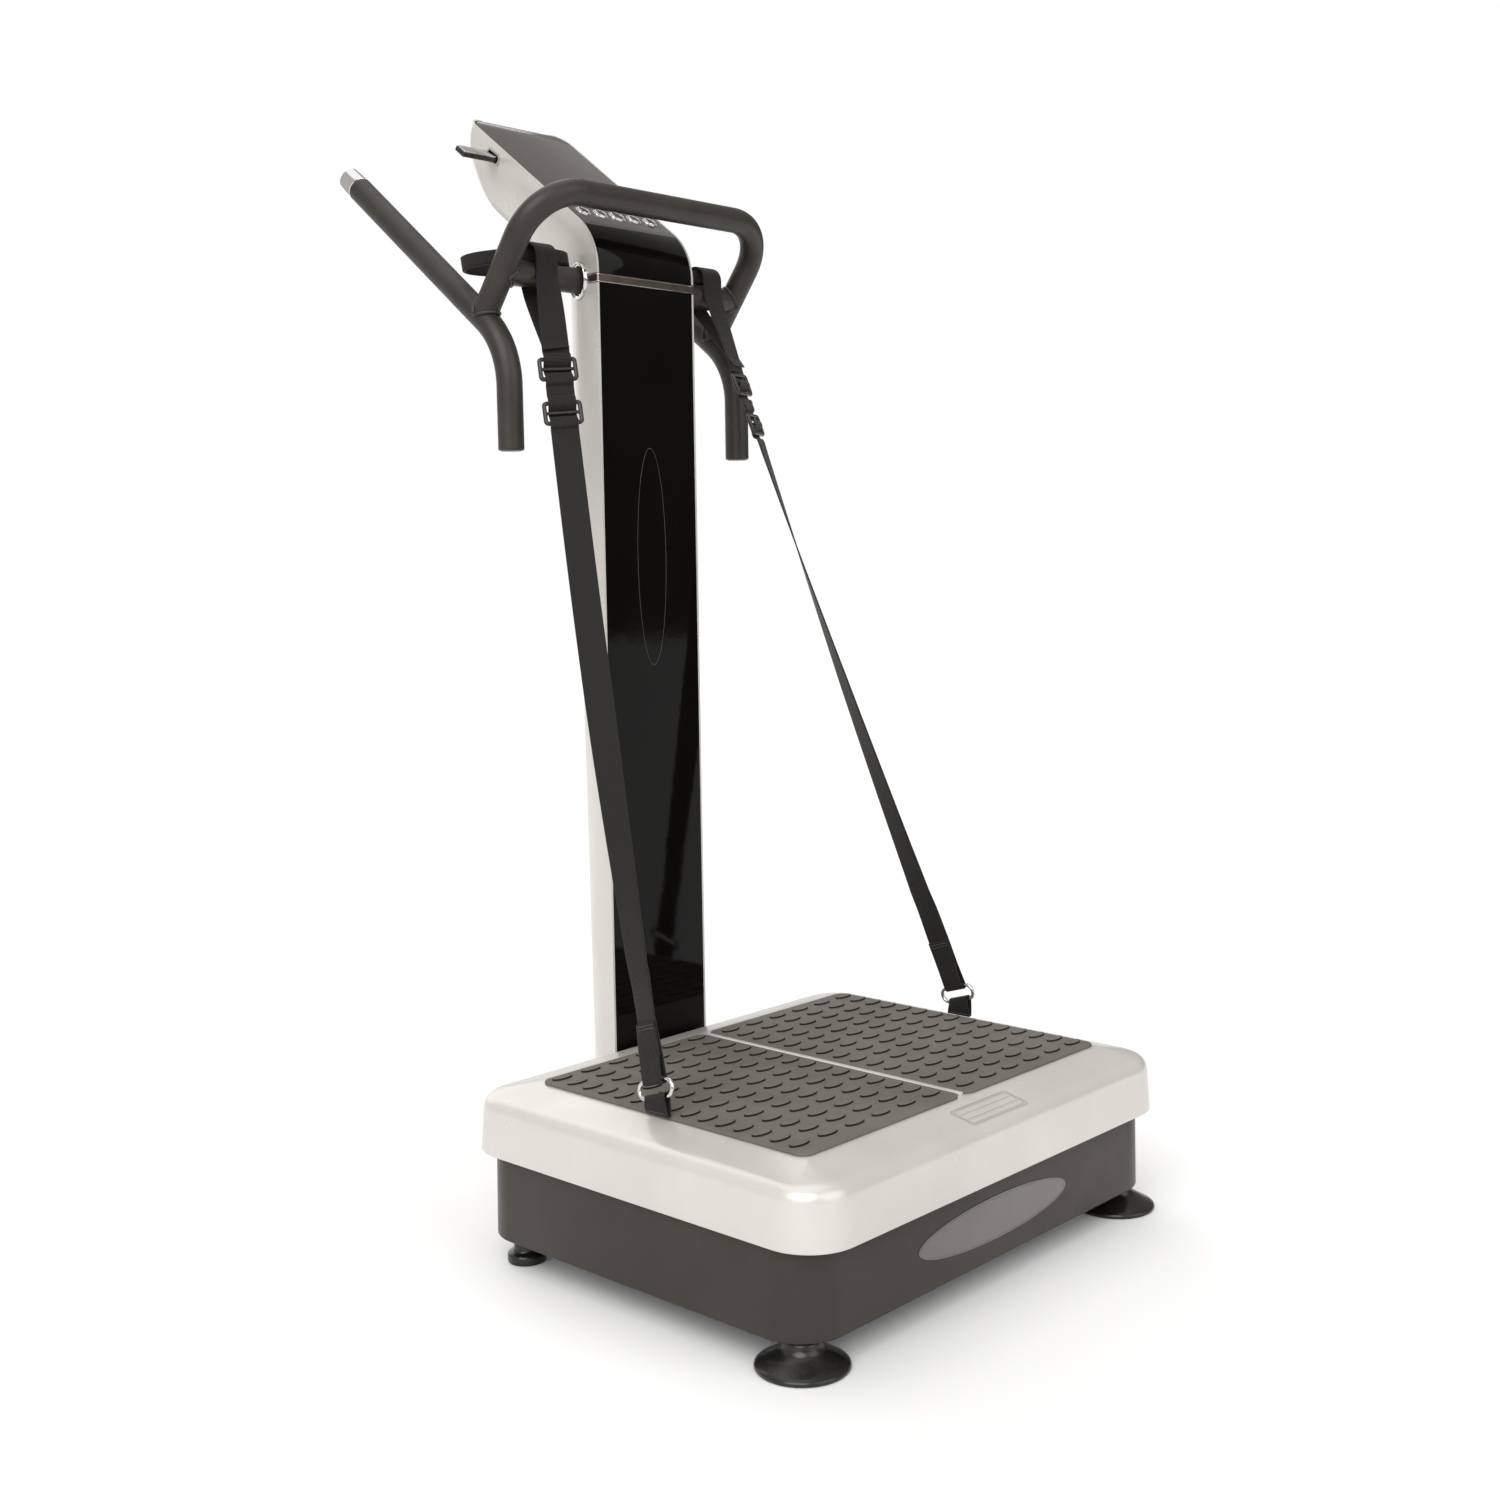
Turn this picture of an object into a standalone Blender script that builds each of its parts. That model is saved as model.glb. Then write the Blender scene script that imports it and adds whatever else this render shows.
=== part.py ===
"""Whole-body vibration plate: rocking platform, belt drive, column with console, handlebar, tether straps.

Metres, +Z up, floor at Z = 0. The user stands on the platform facing +Y, towards the column.
"""

import math

import bmesh
import bpy
from mathutils import Matrix, Vector

GAP = 0.0003
WALL = 0.003

# Rocking cover (platform top)
COVER_HALF_W = 0.301
COVER_FRONT_Y = -0.402
COVER_BACK_Y = 0.086
COVER_CORNER_R = 0.052
COVER_DRAFT = 0.004
SKIRT_BOTTOM_Z = 0.118
SHOULDER_Z = 0.1745
DECK_Z = 0.186
RIM_SIDE = 0.052
MAT_TOP_Z = 0.189
MAT_OUTER_X = 0.246
MAT_INNER_X = 0.004
MAT_FRONT_Y = -0.3435
MAT_BACK_Y = 0.0217
MAT_CORNER_R = 0.012

# Fixed base
BASE_HALF_W = 0.2965
BASE_FRONT_Y = -0.387
BASE_BACK_Y = 0.068
BASE_BOTTOM_Z = 0.030
BASE_TOP_Z = 0.128
BASE_CORNER_R = 0.050
FLANGE_WIDTH = 0.012
FRAME_TUBE = 0.030
FRAME_Z = BASE_BOTTOM_Z + WALL + GAP
RAIL_X = 0.2665
FRONT_FOOT_Y = -0.3556
REAR_FOOT_Y = 0.0263
STEM_R = 0.005

# Rocker pivot and drive, all shafts along Y
PIVOT_Z = 0.140
PIVOT_R = 0.008
DRIVE_Z = 0.080
CRANK_X = 0.130
MOTOR_X = -0.130
CRANK_OFFSET = 0.0025
ECCENTRIC_R = 0.011
ROD_BORE_R = ECCENTRIC_R + 2 * CRANK_OFFSET + 0.0015
ROD_Y = -0.170
ROD_PIN_Z = 0.145
MOTOR_PULLEY_R = 0.015
CRANK_PULLEY_R = 0.038
BELT_Y = -0.030
BELT_WIDTH = 0.014
BELT_THICKNESS = 0.003

# Column: flat glossy front, half-elliptic back
COLUMN_HALF_W = 0.0745
COLUMN_FRONT_Y = 0.0905
COLUMN_BOTTOM_Z = 0.0465
COLUMN_BOTTOM_DEPTH = 0.080
COLUMN_TOP_DEPTH = 0.096
SHELL_WALL = 0.0025
PANEL_THICKNESS = 0.0025
PANEL_HALF_W = COLUMN_HALF_W - SHELL_WALL - 2 * GAP
MAST_Y = 0.132
CROSS_Y = 0.1273
CROSS_Z = 1.034
TRIM_HALF_H = 0.005
COLLAR_R = 0.0205
COLLAR_X = 0.0690
COLLAR_TURN = math.radians(18)

# Console: bends back from the column and ends in a thin tip
BEND_R = 0.0713
BEND_START_Z = 1.043
CONSOLE_SLOPE = math.radians(36.45)
CONSOLE_STRAIGHT = 0.2325
CONSOLE_DEPTH = 0.090
CONSOLE_TIP_DEPTH = 0.018
CONSOLE_TAPER = 0.060
CONSOLE_CORNER_R = 0.020
SEAM_S = 0.010
BUTTON_UP = 0.0205
BUTTON_PITCH = 0.0257
BUTTON_R = 0.0075
MIDDLE_BUTTON_R = 0.0088
USB_UP = 0.1645

# Handlebar, round tube
TUBE_R = 0.014
HANDLE_X = 0.177
BAR_LOW = Vector((0, 0.1209, 0.8456))
BAR_BEND = Vector((0, 0.1209, 0.9579))
BAR_HIGH = Vector((0, 0.3935, 1.1677))
BAR_BEND_R = 0.090
LEG_JOINT = Vector((0, 0.1605, 0.9901))
GRIP_CORNER = Vector((0, 0.0666, 1.1142))
GRIP_BEND_R = 0.060
CAP_LENGTH = 0.024

# Tether straps
WEB_WIDTH = 0.030
WEB_THICKNESS = 0.0016
TUBE_REACH = TUBE_R + 0.0006 + WEB_THICKNESS / 2
STRAP_TOP_X = {"left": 0.128, "right": 0.129}
STRAP_BOW = 0.005
ARCH_RISE = 0.0185
ANCHOR_WIDTH = 0.032
ANCHOR_TOP_WIDTH = 0.028
RING_X = 0.2485
RING_Y = -0.154
RING_Z = 0.2145
RING_TURN = math.radians(90)
RING_HALF_STRAIGHT = 0.0145
RING_BEND_R = 0.0085
RING_WIRE_R = 0.0021
SEAM_UP = 0.053
HAND_LOOP_HALF_L = 0.061
HAND_LOOP_HALF_W = 0.025
HAND_LOOP_HEIGHT = 0.015
HAND_LOOP_TILT = math.radians(12)
HAND_LOOP_X = 0.135
HAND_LOOP_Y = 0.155
BUCKLE_HEIGHTS = (0.930, 0.883)
BUCKLE_HALF_W = 0.021
BUCKLE_HALF_H = 0.0135
BUCKLE_HALF_T = 0.0012

parts = None
cutters = None


def start_scene():
    """Empties the scene and makes the two collections."""
    global parts, cutters
    for old in list(bpy.data.objects):
        bpy.data.objects.remove(old, do_unlink=True)
    parts = bpy.data.collections.new("vibration_plate")
    cutters = bpy.data.collections.new("cutters")
    for collection in (parts, cutters):
        bpy.context.scene.collection.children.link(collection)


def material(name, color, roughness, metallic=0.0):
    """A Principled BSDF with the part's base colour."""
    made = bpy.data.materials.new(name)
    made.use_nodes = True
    shader = made.node_tree.nodes["Principled BSDF"]
    shader.inputs["Base Color"].default_value = (*color, 1.0)
    shader.inputs["Roughness"].default_value = roughness
    shader.inputs["Metallic"].default_value = metallic
    return made


def make_materials():
    """All finishes of the machine."""
    return {
        "silver": material("silver_plastic", (0.78, 0.76, 0.72), 0.35, 0.2),
        "dark": material("dark_plastic", (0.13, 0.12, 0.11), 0.5),
        "gloss": material("black_gloss", (0.01, 0.01, 0.01), 0.08),
        "mat": material("grey_rubber", (0.16, 0.15, 0.14), 0.75),
        "rubber": material("black_rubber", (0.02, 0.02, 0.02), 0.4),
        "tube": material("black_textured_paint", (0.04, 0.038, 0.035), 0.65),
        "chrome": material("chrome", (0.9, 0.9, 0.9), 0.08, 1.0),
        "steel": material("zinc_steel", (0.6, 0.6, 0.62), 0.4, 1.0),
        "iron": material("painted_steel", (0.05, 0.05, 0.05), 0.5),
        "cast": material("motor_casting", (0.35, 0.36, 0.38), 0.5, 0.6),
        "web": material("black_webbing", (0.02, 0.02, 0.02), 0.85),
        "plastic": material("black_plastic", (0.02, 0.02, 0.02), 0.45),
        "board": material("green_board", (0.02, 0.12, 0.05), 0.5),
    }


def add_object(name, mesh, mat, collection=None):
    """Links a mesh as a named object with one material."""
    obj = bpy.data.objects.new(name, mesh)
    (collection or parts).objects.link(obj)
    if mat is not None:
        mesh.materials.append(mat)
    mesh.shade_smooth()
    mesh.set_sharp_from_angle(angle=math.radians(35))
    return obj


def from_bmesh(name, bm, mat, collection=None):
    """Turns a bmesh into an object, with its faces pointing out."""
    bmesh.ops.recalc_face_normals(bm, faces=bm.faces)
    mesh = bpy.data.meshes.new(name)
    bm.to_mesh(mesh)
    bm.free()
    return add_object(name, mesh, mat, collection)


def hide_as_cutter(obj):
    """Moves an object out of the parts and into the cutters."""
    for collection in list(obj.users_collection):
        collection.objects.unlink(obj)
    cutters.objects.link(obj)
    obj.hide_render = True
    obj.display_type = "WIRE"
    return obj


def bevel(obj, width, segments=2):
    """Rounds the edges sharper than 40 degrees."""
    modifier = obj.modifiers.new("round", "BEVEL")
    modifier.width = width
    modifier.segments = segments
    modifier.limit_method = "ANGLE"
    modifier.angle_limit = math.radians(40)
    return obj


def solidify(obj, thickness, offset=-1.0):
    """Gives an open surface its wall."""
    modifier = obj.modifiers.new("wall", "SOLIDIFY")
    modifier.thickness = thickness
    modifier.offset = offset
    modifier.use_even_offset = True
    return obj


def boolean(obj, other, operation):
    """Cuts or joins another solid, which becomes a helper."""
    modifier = obj.modifiers.new(operation.lower() + "_" + other.name, "BOOLEAN")
    modifier.operation = operation
    modifier.solver = "EXACT"
    modifier.object = hide_as_cutter(other)
    return obj


def box(name, size, centre, mat=None, round_width=0.0, segments=1):
    """A block from its full size and its centre."""
    bm = bmesh.new()
    bmesh.ops.create_cube(bm, size=1.0)
    bmesh.ops.scale(bm, vec=size, verts=bm.verts)
    bmesh.ops.translate(bm, vec=centre, verts=bm.verts)
    obj = from_bmesh(name, bm, mat)
    return bevel(obj, round_width, segments) if round_width else obj


def rod(name, radius, start, end, mat=None, sides=24, end_radius=None):
    """A round bar, or a cone, between two points. Its origin is at the start."""
    start = Vector(start)
    along = Vector(end) - start
    bm = bmesh.new()
    bmesh.ops.create_cone(bm, cap_ends=True, segments=sides, radius1=radius,
                          radius2=radius if end_radius is None else end_radius, depth=along.length)
    turn = along.to_track_quat("Z", "Y").to_matrix().to_4x4()
    bmesh.ops.transform(bm, matrix=turn @ Matrix.Translation((0, 0, along.length / 2)), verts=bm.verts)
    obj = from_bmesh(name, bm, mat)
    obj.location = start
    return obj


def turned(name, profile, mat, location, steps=24):
    """A solid of revolution about its own Z, from (radius, z) points listed top to bottom."""
    bm = bmesh.new()
    points = [bm.verts.new((radius, 0, z)) for radius, z in profile]
    for first, second in zip(points, points[1:]):
        bm.edges.new((first, second))
    mesh = bpy.data.meshes.new(name)
    bm.to_mesh(mesh)
    bm.free()
    obj = add_object(name, mesh, mat)
    modifier = obj.modifiers.new("turn", "SCREW")
    modifier.steps = steps
    modifier.render_steps = steps
    modifier.use_merge_vertices = True
    modifier.merge_threshold = 0.00005
    obj.location = location
    return obj


def mesh_from_curve(name, curve, mat):
    """Makes a mesh object of a curve, with its caps welded."""
    helper = bpy.data.objects.new(name + "_curve", curve)
    parts.objects.link(helper)
    bpy.context.view_layer.update()
    evaluated = helper.evaluated_get(bpy.context.evaluated_depsgraph_get())
    bm = bmesh.new()
    bm.from_mesh(bpy.data.meshes.new_from_object(evaluated))
    bmesh.ops.remove_doubles(bm, verts=bm.verts, dist=0.00002)
    bpy.data.objects.remove(helper, do_unlink=True)
    return from_bmesh(name, bm, mat)


def tube(name, points, radius, mat, resolution=4):
    """A round tube with closed ends along a list of points."""
    curve = bpy.data.curves.new(name, "CURVE")
    curve.dimensions = "3D"
    curve.bevel_depth = radius
    curve.bevel_resolution = resolution
    curve.use_fill_caps = True
    spline = curve.splines.new("POLY")
    spline.points.add(len(points) - 1)
    for point, place in zip(spline.points, points):
        point.co = (*place, 1.0)
    return mesh_from_curve(name, curve, mat)


def plate(name, outlines, thickness, mat):
    """A flat plate in XY from closed outlines; every outline after the first is a hole."""
    curve = bpy.data.curves.new(name, "CURVE")
    curve.dimensions = "2D"
    curve.fill_mode = "BOTH"
    curve.extrude = thickness / 2
    for outline in outlines:
        spline = curve.splines.new("POLY")
        spline.points.add(len(outline) - 1)
        spline.use_cyclic_u = True
        for point, (x, y) in zip(spline.points, outline):
            point.co = (x, y, 0.0, 1.0)
    return mesh_from_curve(name, curve, mat)


def circle(radius, x=0.0, y=0.0, count=24):
    """Points around a circle."""
    angles = [2 * math.pi * i / count for i in range(count)]
    return [(x + radius * math.cos(a), y + radius * math.sin(a)) for a in angles]


def rounded_corners(corners, radius, count=6):
    """Rounds the inner corners of a 3D path with arcs."""
    points = [Vector(corners[0])]
    for before, corner, after in zip(corners, corners[1:], corners[2:]):
        back = (Vector(before) - corner).normalized()
        ahead = (Vector(after) - corner).normalized()
        half = back.angle(ahead) / 2
        centre = corner + (back + ahead).normalized() * (radius / math.sin(half))
        start = corner + back * (radius / math.tan(half)) - centre
        end = corner + ahead * (radius / math.tan(half)) - centre
        axis = start.cross(end).normalized()
        sweep = start.angle(end)
        for i in range(count + 1):
            points.append(centre + Matrix.Rotation(sweep * i / count, 3, axis) @ start)
    points.append(Vector(corners[-1]))
    return points


def rounded_block(name, half_w, front, back, low, high, radius, mat, segments=6):
    """A block with rounded upright corners, centred on X = 0."""
    bm = bmesh.new()
    bmesh.ops.create_cube(bm, size=1.0)
    bmesh.ops.scale(bm, vec=(2 * half_w, back - front, high - low), verts=bm.verts)
    bmesh.ops.translate(bm, vec=(0, (front + back) / 2, (low + high) / 2), verts=bm.verts)
    upright = [e for e in bm.edges if abs(e.verts[0].co.z - e.verts[1].co.z) > (high - low) / 2]
    bmesh.ops.bevel(bm, geom=upright, offset=radius, segments=segments, profile=0.5, affect="EDGES")
    return from_bmesh(name, bm, mat)


def face_at(bm, z):
    """The flat face that lies at a height."""
    return [f for f in bm.faces if all(abs(v.co.z - z) < 1e-5 for v in f.verts)]


def taper_top(bm, z, amount, centre_y, half_w, half_d):
    """Draws the vertices at one height in towards the centre line."""
    for vertex in bm.verts:
        if abs(vertex.co.z - z) < 1e-5:
            vertex.co.x *= 1 - amount / half_w
            vertex.co.y = centre_y + (vertex.co.y - centre_y) * (1 - amount / half_d)


# ---------------------------------------------------------------- platform

def make_cover(mats):
    """Silver cover: drafted skirt, round shoulder, rim rising to the deck."""
    obj = rounded_block("platform_cover", COVER_HALF_W, COVER_FRONT_Y, COVER_BACK_Y, SKIRT_BOTTOM_Z,
                        SHOULDER_Z, COVER_CORNER_R, mats["silver"])
    bm = bmesh.new()
    bm.from_mesh(obj.data)
    middle = (COVER_FRONT_Y + COVER_BACK_Y) / 2
    depth = (COVER_BACK_Y - COVER_FRONT_Y) / 2
    taper_top(bm, SHOULDER_Z, COVER_DRAFT, middle, COVER_HALF_W, depth)
    bmesh.ops.delete(bm, geom=face_at(bm, SKIRT_BOTTOM_Z), context="FACES")
    top = face_at(bm, SHOULDER_Z)
    bmesh.ops.inset_region(bm, faces=top, thickness=RIM_SIDE, use_even_offset=True)
    for vertex in top[0].verts:
        vertex.co.z = DECK_Z
    bm.normal_update()
    bm.to_mesh(obj.data)
    bm.free()
    bevel(obj, 0.012, 3)
    return solidify(obj, WALL)


def make_mats(mats):
    """Two tread mats, left and right of a narrow strip of cover."""
    for side, sign in (("left", -1), ("right", 1)):
        half = (MAT_OUTER_X - MAT_INNER_X) / 2
        obj = rounded_block("mat_" + side, half, MAT_FRONT_Y, MAT_BACK_Y, DECK_Z + GAP, MAT_TOP_Z,
                            MAT_CORNER_R, mats["mat"], 4)
        obj.location.x = sign * (MAT_OUTER_X + MAT_INNER_X) / 2


def make_platform_frame(mats):
    """Steel spider under the cover, with the pin lug of the connecting rod."""
    z = 0.1725
    frame = box("platform_frame", (0.44, 0.030, 0.020), (0, -0.285, z), mats["iron"])
    pieces = [
        box("spider_rear", (0.44, 0.030, 0.020), (0, -0.035, z)),
        box("spider_left", (0.030, 0.275, 0.0198), (-0.20, -0.16, z)),
        box("spider_right", (0.030, 0.275, 0.0196), (0.20, -0.16, z)),
        box("spider_spine", (0.040, 0.275, 0.0194), (0, -0.16, z)),
        box("spider_lug_bar", (0.200, 0.012, 0.0192), (0.10, ROD_Y + 0.020, z)),
        box("spider_lug", (0.024, 0.011, 0.040), (CRANK_X, ROD_Y + 0.020, 0.155)),
    ]
    for piece in pieces:
        boolean(frame, piece, "UNION")
    for y in (-0.295, -0.025):
        boolean(frame, box("hanger", (0.036, 0.0188, 0.042), (0, y, 0.1485)), "UNION")
    bore = rod("pivot_bore", PIVOT_R + 0.0002, (0, -0.40, PIVOT_Z), (0, 0.10, PIVOT_Z))
    boolean(frame, bore, "DIFFERENCE")
    pin = rod("rod_pin", 0.005, (CRANK_X, ROD_Y - 0.010, ROD_PIN_Z), (CRANK_X, ROD_Y + 0.022, ROD_PIN_Z), None, 16)
    boolean(frame, pin, "UNION")


def make_pivot(mats):
    """Rocker shaft in the platform frame, held in two blocks on the base frame."""
    rod("pivot_shaft", PIVOT_R, (0, -0.365, PIVOT_Z), (0, 0.050, PIVOT_Z), mats["steel"])
    floor = FRAME_Z + FRAME_TUBE + GAP
    for side, y in (("front", -0.345), ("rear", 0.030)):
        top = PIVOT_Z + 0.018
        block = box("pivot_block_" + side, (0.050, 0.024, top - floor), (0, y, (top + floor) / 2),
                    mats["cast"], 0.003)
        bore = rod("block_bore", PIVOT_R + 0.0003, (0, y - 0.05, PIVOT_Z), (0, y + 0.05, PIVOT_Z))
        boolean(block, bore, "DIFFERENCE")


# ---------------------------------------------------------------- drive

def make_crank(mats):
    """Crankshaft with its eccentric, driven pulley and two bearing blocks."""
    shaft = rod("crank_shaft", 0.008, (CRANK_X, -0.290, DRIVE_Z), (CRANK_X, -0.005, DRIVE_Z), mats["steel"])
    centre_x = CRANK_X + CRANK_OFFSET
    eccentric = rod("eccentric", ECCENTRIC_R, (centre_x, ROD_Y - 0.008, DRIVE_Z),
                    (centre_x, ROD_Y + 0.008, DRIVE_Z))
    boolean(shaft, eccentric, "UNION")
    half = BELT_WIDTH / 2 + 0.002
    pulley = rod("driven_pulley", CRANK_PULLEY_R, (CRANK_X, BELT_Y - half, DRIVE_Z),
                 (CRANK_X, BELT_Y + half, DRIVE_Z), mats["cast"], 32)
    boolean(pulley, rod("pulley_bore", 0.0083, (CRANK_X, BELT_Y - 0.05, DRIVE_Z),
                        (CRANK_X, BELT_Y + 0.05, DRIVE_Z)), "DIFFERENCE")
    floor = FRAME_Z + 0.004 + GAP
    for side, y in (("front", -0.265), ("rear", -0.075)):
        top = DRIVE_Z + 0.020
        block = box("crank_bearing_" + side, (0.056, 0.022, top - floor), (CRANK_X, y, (top + floor) / 2),
                    mats["cast"], 0.003)
        bore = rod("bearing_bore", 0.0083, (CRANK_X, y - 0.05, DRIVE_Z), (CRANK_X, y + 0.05, DRIVE_Z))
        boolean(block, bore, "DIFFERENCE")


def make_connecting_rod(mats):
    """Rod from the eccentric up to the platform's lug, its big end open by the crank's throw."""
    big = [(CRANK_X + 0.0235 * math.cos(a), DRIVE_Z + 0.0235 * math.sin(a))
           for a in [math.pi * (0.65 + 1.7 * i / 20) for i in range(21)]]
    small = [(CRANK_X + 0.011 * math.cos(a), ROD_PIN_Z + 0.011 * math.sin(a))
             for a in [math.pi * (-0.05 + 1.1 * i / 10) for i in range(11)]]
    bores = [circle(ROD_BORE_R, CRANK_X, DRIVE_Z), circle(0.0052, CRANK_X, ROD_PIN_Z, 16)]
    obj = plate("connecting_rod", [big + small] + bores, 0.012, mats["cast"])
    obj.data.transform(Matrix.Rotation(math.pi / 2, 4, "X"))
    obj.data.transform(Matrix.Translation((-CRANK_X, 0, -ROD_PIN_Z)))
    obj.location = (CRANK_X, ROD_Y, ROD_PIN_Z)


def make_motor(mats):
    """Motor casing with its foot, rotor shaft with pulley."""
    floor = FRAME_Z + 0.004 + GAP
    casing = rod("motor_casing", 0.036, (MOTOR_X, -0.200, DRIVE_Z), (MOTOR_X, -0.080, DRIVE_Z), mats["cast"], 32)
    boolean(casing, box("motor_foot", (0.090, 0.100, 0.016), (MOTOR_X, -0.14, floor + 0.008)), "UNION")
    boolean(casing, rod("rotor_bore", 0.0063, (MOTOR_X, -0.12, DRIVE_Z), (MOTOR_X, 0.0, DRIVE_Z), None, 16),
            "DIFFERENCE")
    rotor = rod("motor_shaft", 0.006, (MOTOR_X, -0.115, DRIVE_Z), (MOTOR_X, -0.012, DRIVE_Z), mats["steel"], 16)
    half = BELT_WIDTH / 2 + 0.002
    boolean(rotor, rod("motor_pulley", MOTOR_PULLEY_R, (MOTOR_X, BELT_Y - half, DRIVE_Z),
                       (MOTOR_X, BELT_Y + half, DRIVE_Z), None, 24), "UNION")


def belt_outline(extra):
    """Outline of a belt round the two pulleys, in X and Z, with its common tangents."""
    span = CRANK_X - MOTOR_X
    small = MOTOR_PULLEY_R + extra
    big = CRANK_PULLEY_R + extra
    lean = math.acos((big - small) / span)
    right = [lean - math.pi + 2 * (math.pi - lean) * 0.5 + (2 * (math.pi - lean)) * (i / 16 - 0.5)
             for i in range(17)]
    left = [math.pi - lean + 2 * lean * i / 10 for i in range(11)]
    points = [(CRANK_X + big * math.cos(a), DRIVE_Z + big * math.sin(a)) for a in right]
    return points + [(MOTOR_X + small * math.cos(a), DRIVE_Z + small * math.sin(a)) for a in left]


def make_belt(mats):
    """Flat drive belt around the motor pulley and the driven pulley."""
    outer = belt_outline(GAP + 0.0002 + BELT_THICKNESS)
    inner = belt_outline(GAP + 0.0002)
    obj = plate("drive_belt", [outer, inner], BELT_WIDTH, mats["rubber"])
    obj.data.transform(Matrix.Rotation(math.pi / 2, 4, "X"))
    obj.location.y = BELT_Y


# ---------------------------------------------------------------- base

def make_base_shell(mats):
    """Dark shell: drafted wall with an inward foot flange, and openings at the back."""
    obj = rounded_block("base_shell", BASE_HALF_W, BASE_FRONT_Y, BASE_BACK_Y, BASE_BOTTOM_Z, BASE_TOP_Z,
                        BASE_CORNER_R, mats["dark"])
    bm = bmesh.new()
    bm.from_mesh(obj.data)
    middle = (BASE_FRONT_Y + BASE_BACK_Y) / 2
    taper_top(bm, BASE_TOP_Z, 0.0017, middle, BASE_HALF_W, (BASE_BACK_Y - BASE_FRONT_Y) / 2)
    bmesh.ops.delete(bm, geom=face_at(bm, BASE_TOP_Z), context="FACES")
    bottom = face_at(bm, BASE_BOTTOM_Z)
    bmesh.ops.inset_region(bm, faces=bottom, thickness=FLANGE_WIDTH + WALL, use_even_offset=True)
    inner = [f for f in face_at(bm, BASE_BOTTOM_Z) if len(f.verts) > 4]
    bmesh.ops.delete(bm, geom=inner, context="FACES")
    bm.normal_update()
    bm.to_mesh(obj.data)
    bm.free()
    solidify(obj, WALL)
    openings = [
        box("bracket_notch", (0.116, 0.06, 0.034), (0, BASE_BACK_Y, 0.0355)),
        box("inlet_hole", (0.0286, 0.03, 0.0206), (0.205, BASE_BACK_Y, 0.085)),
        box("switch_hole", (0.0196, 0.03, 0.0286), (0.165, BASE_BACK_Y, 0.085)),
    ]
    for opening in openings:
        boolean(obj, opening, "DIFFERENCE")


def make_base_frame(mats):
    """Welded steel frame of square tube, drive plate and the bracket under the column."""
    z = FRAME_Z + FRAME_TUBE / 2
    frame = box("base_frame", (FRAME_TUBE, 0.410, FRAME_TUBE), (-RAIL_X, -0.160, z), mats["iron"])
    pieces = [
        box("rail_right", (FRAME_TUBE, 0.410, FRAME_TUBE), (RAIL_X, -0.160, z)),
        box("cross_front", (0.5202, 0.0298, 0.0298), (0, -0.3440, z)),
        box("cross_rear", (0.5202, 0.0298, 0.0298), (0, 0.0290, z)),
        box("drive_plate", (0.5204, 0.240, 0.004), (0, -0.165, FRAME_Z + 0.002)),
        box("spine", (0.0402, 0.372, 0.0100), (0, -0.160, FRAME_Z + 0.0052)),
        box("column_bracket", (0.110, 0.150, 0.0120), (0, 0.100, FRAME_Z + 0.0062)),
    ]
    for piece in pieces:
        boolean(frame, piece, "UNION")
    for x in (-RAIL_X, RAIL_X):
        for y in (FRONT_FOOT_Y, REAR_FOOT_Y):
            boolean(frame, rod("stem_hole", STEM_R + 0.0004, (x, y, 0.0), (x, y, 0.1), None, 16), "DIFFERENCE")


def make_feet(mats):
    """Two suction feet at the front and two levelling pads at the back, each on a threaded stem."""
    cup = [(0, 0.058), (STEM_R, 0.058), (STEM_R, 0.0285), (0.017, 0.0285), (0.019, 0.0265), (0.020, 0.021),
           (0.026, 0.015), (0.036, 0.009), (0.0435, 0.0055), (0.0445, 0.003), (0.0440, 0.0), (0, 0.0)]
    pad = [(0, 0.058), (STEM_R, 0.058), (STEM_R, 0.022), (0.013, 0.022), (0.0135, 0.013), (0.0185, 0.0105),
           (0.020, 0.008), (0.020, 0.002), (0.0185, 0.0), (0, 0.0)]
    for name, x, y, profile in (("foot_front_left", -RAIL_X, FRONT_FOOT_Y, cup),
                                ("foot_front_right", RAIL_X, FRONT_FOOT_Y, cup),
                                ("foot_rear_left", -RAIL_X, REAR_FOOT_Y, pad),
                                ("foot_rear_right", RAIL_X, REAR_FOOT_Y, pad)):
        turned(name, profile, mats["rubber"], (x, y, 0), 20)


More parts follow.
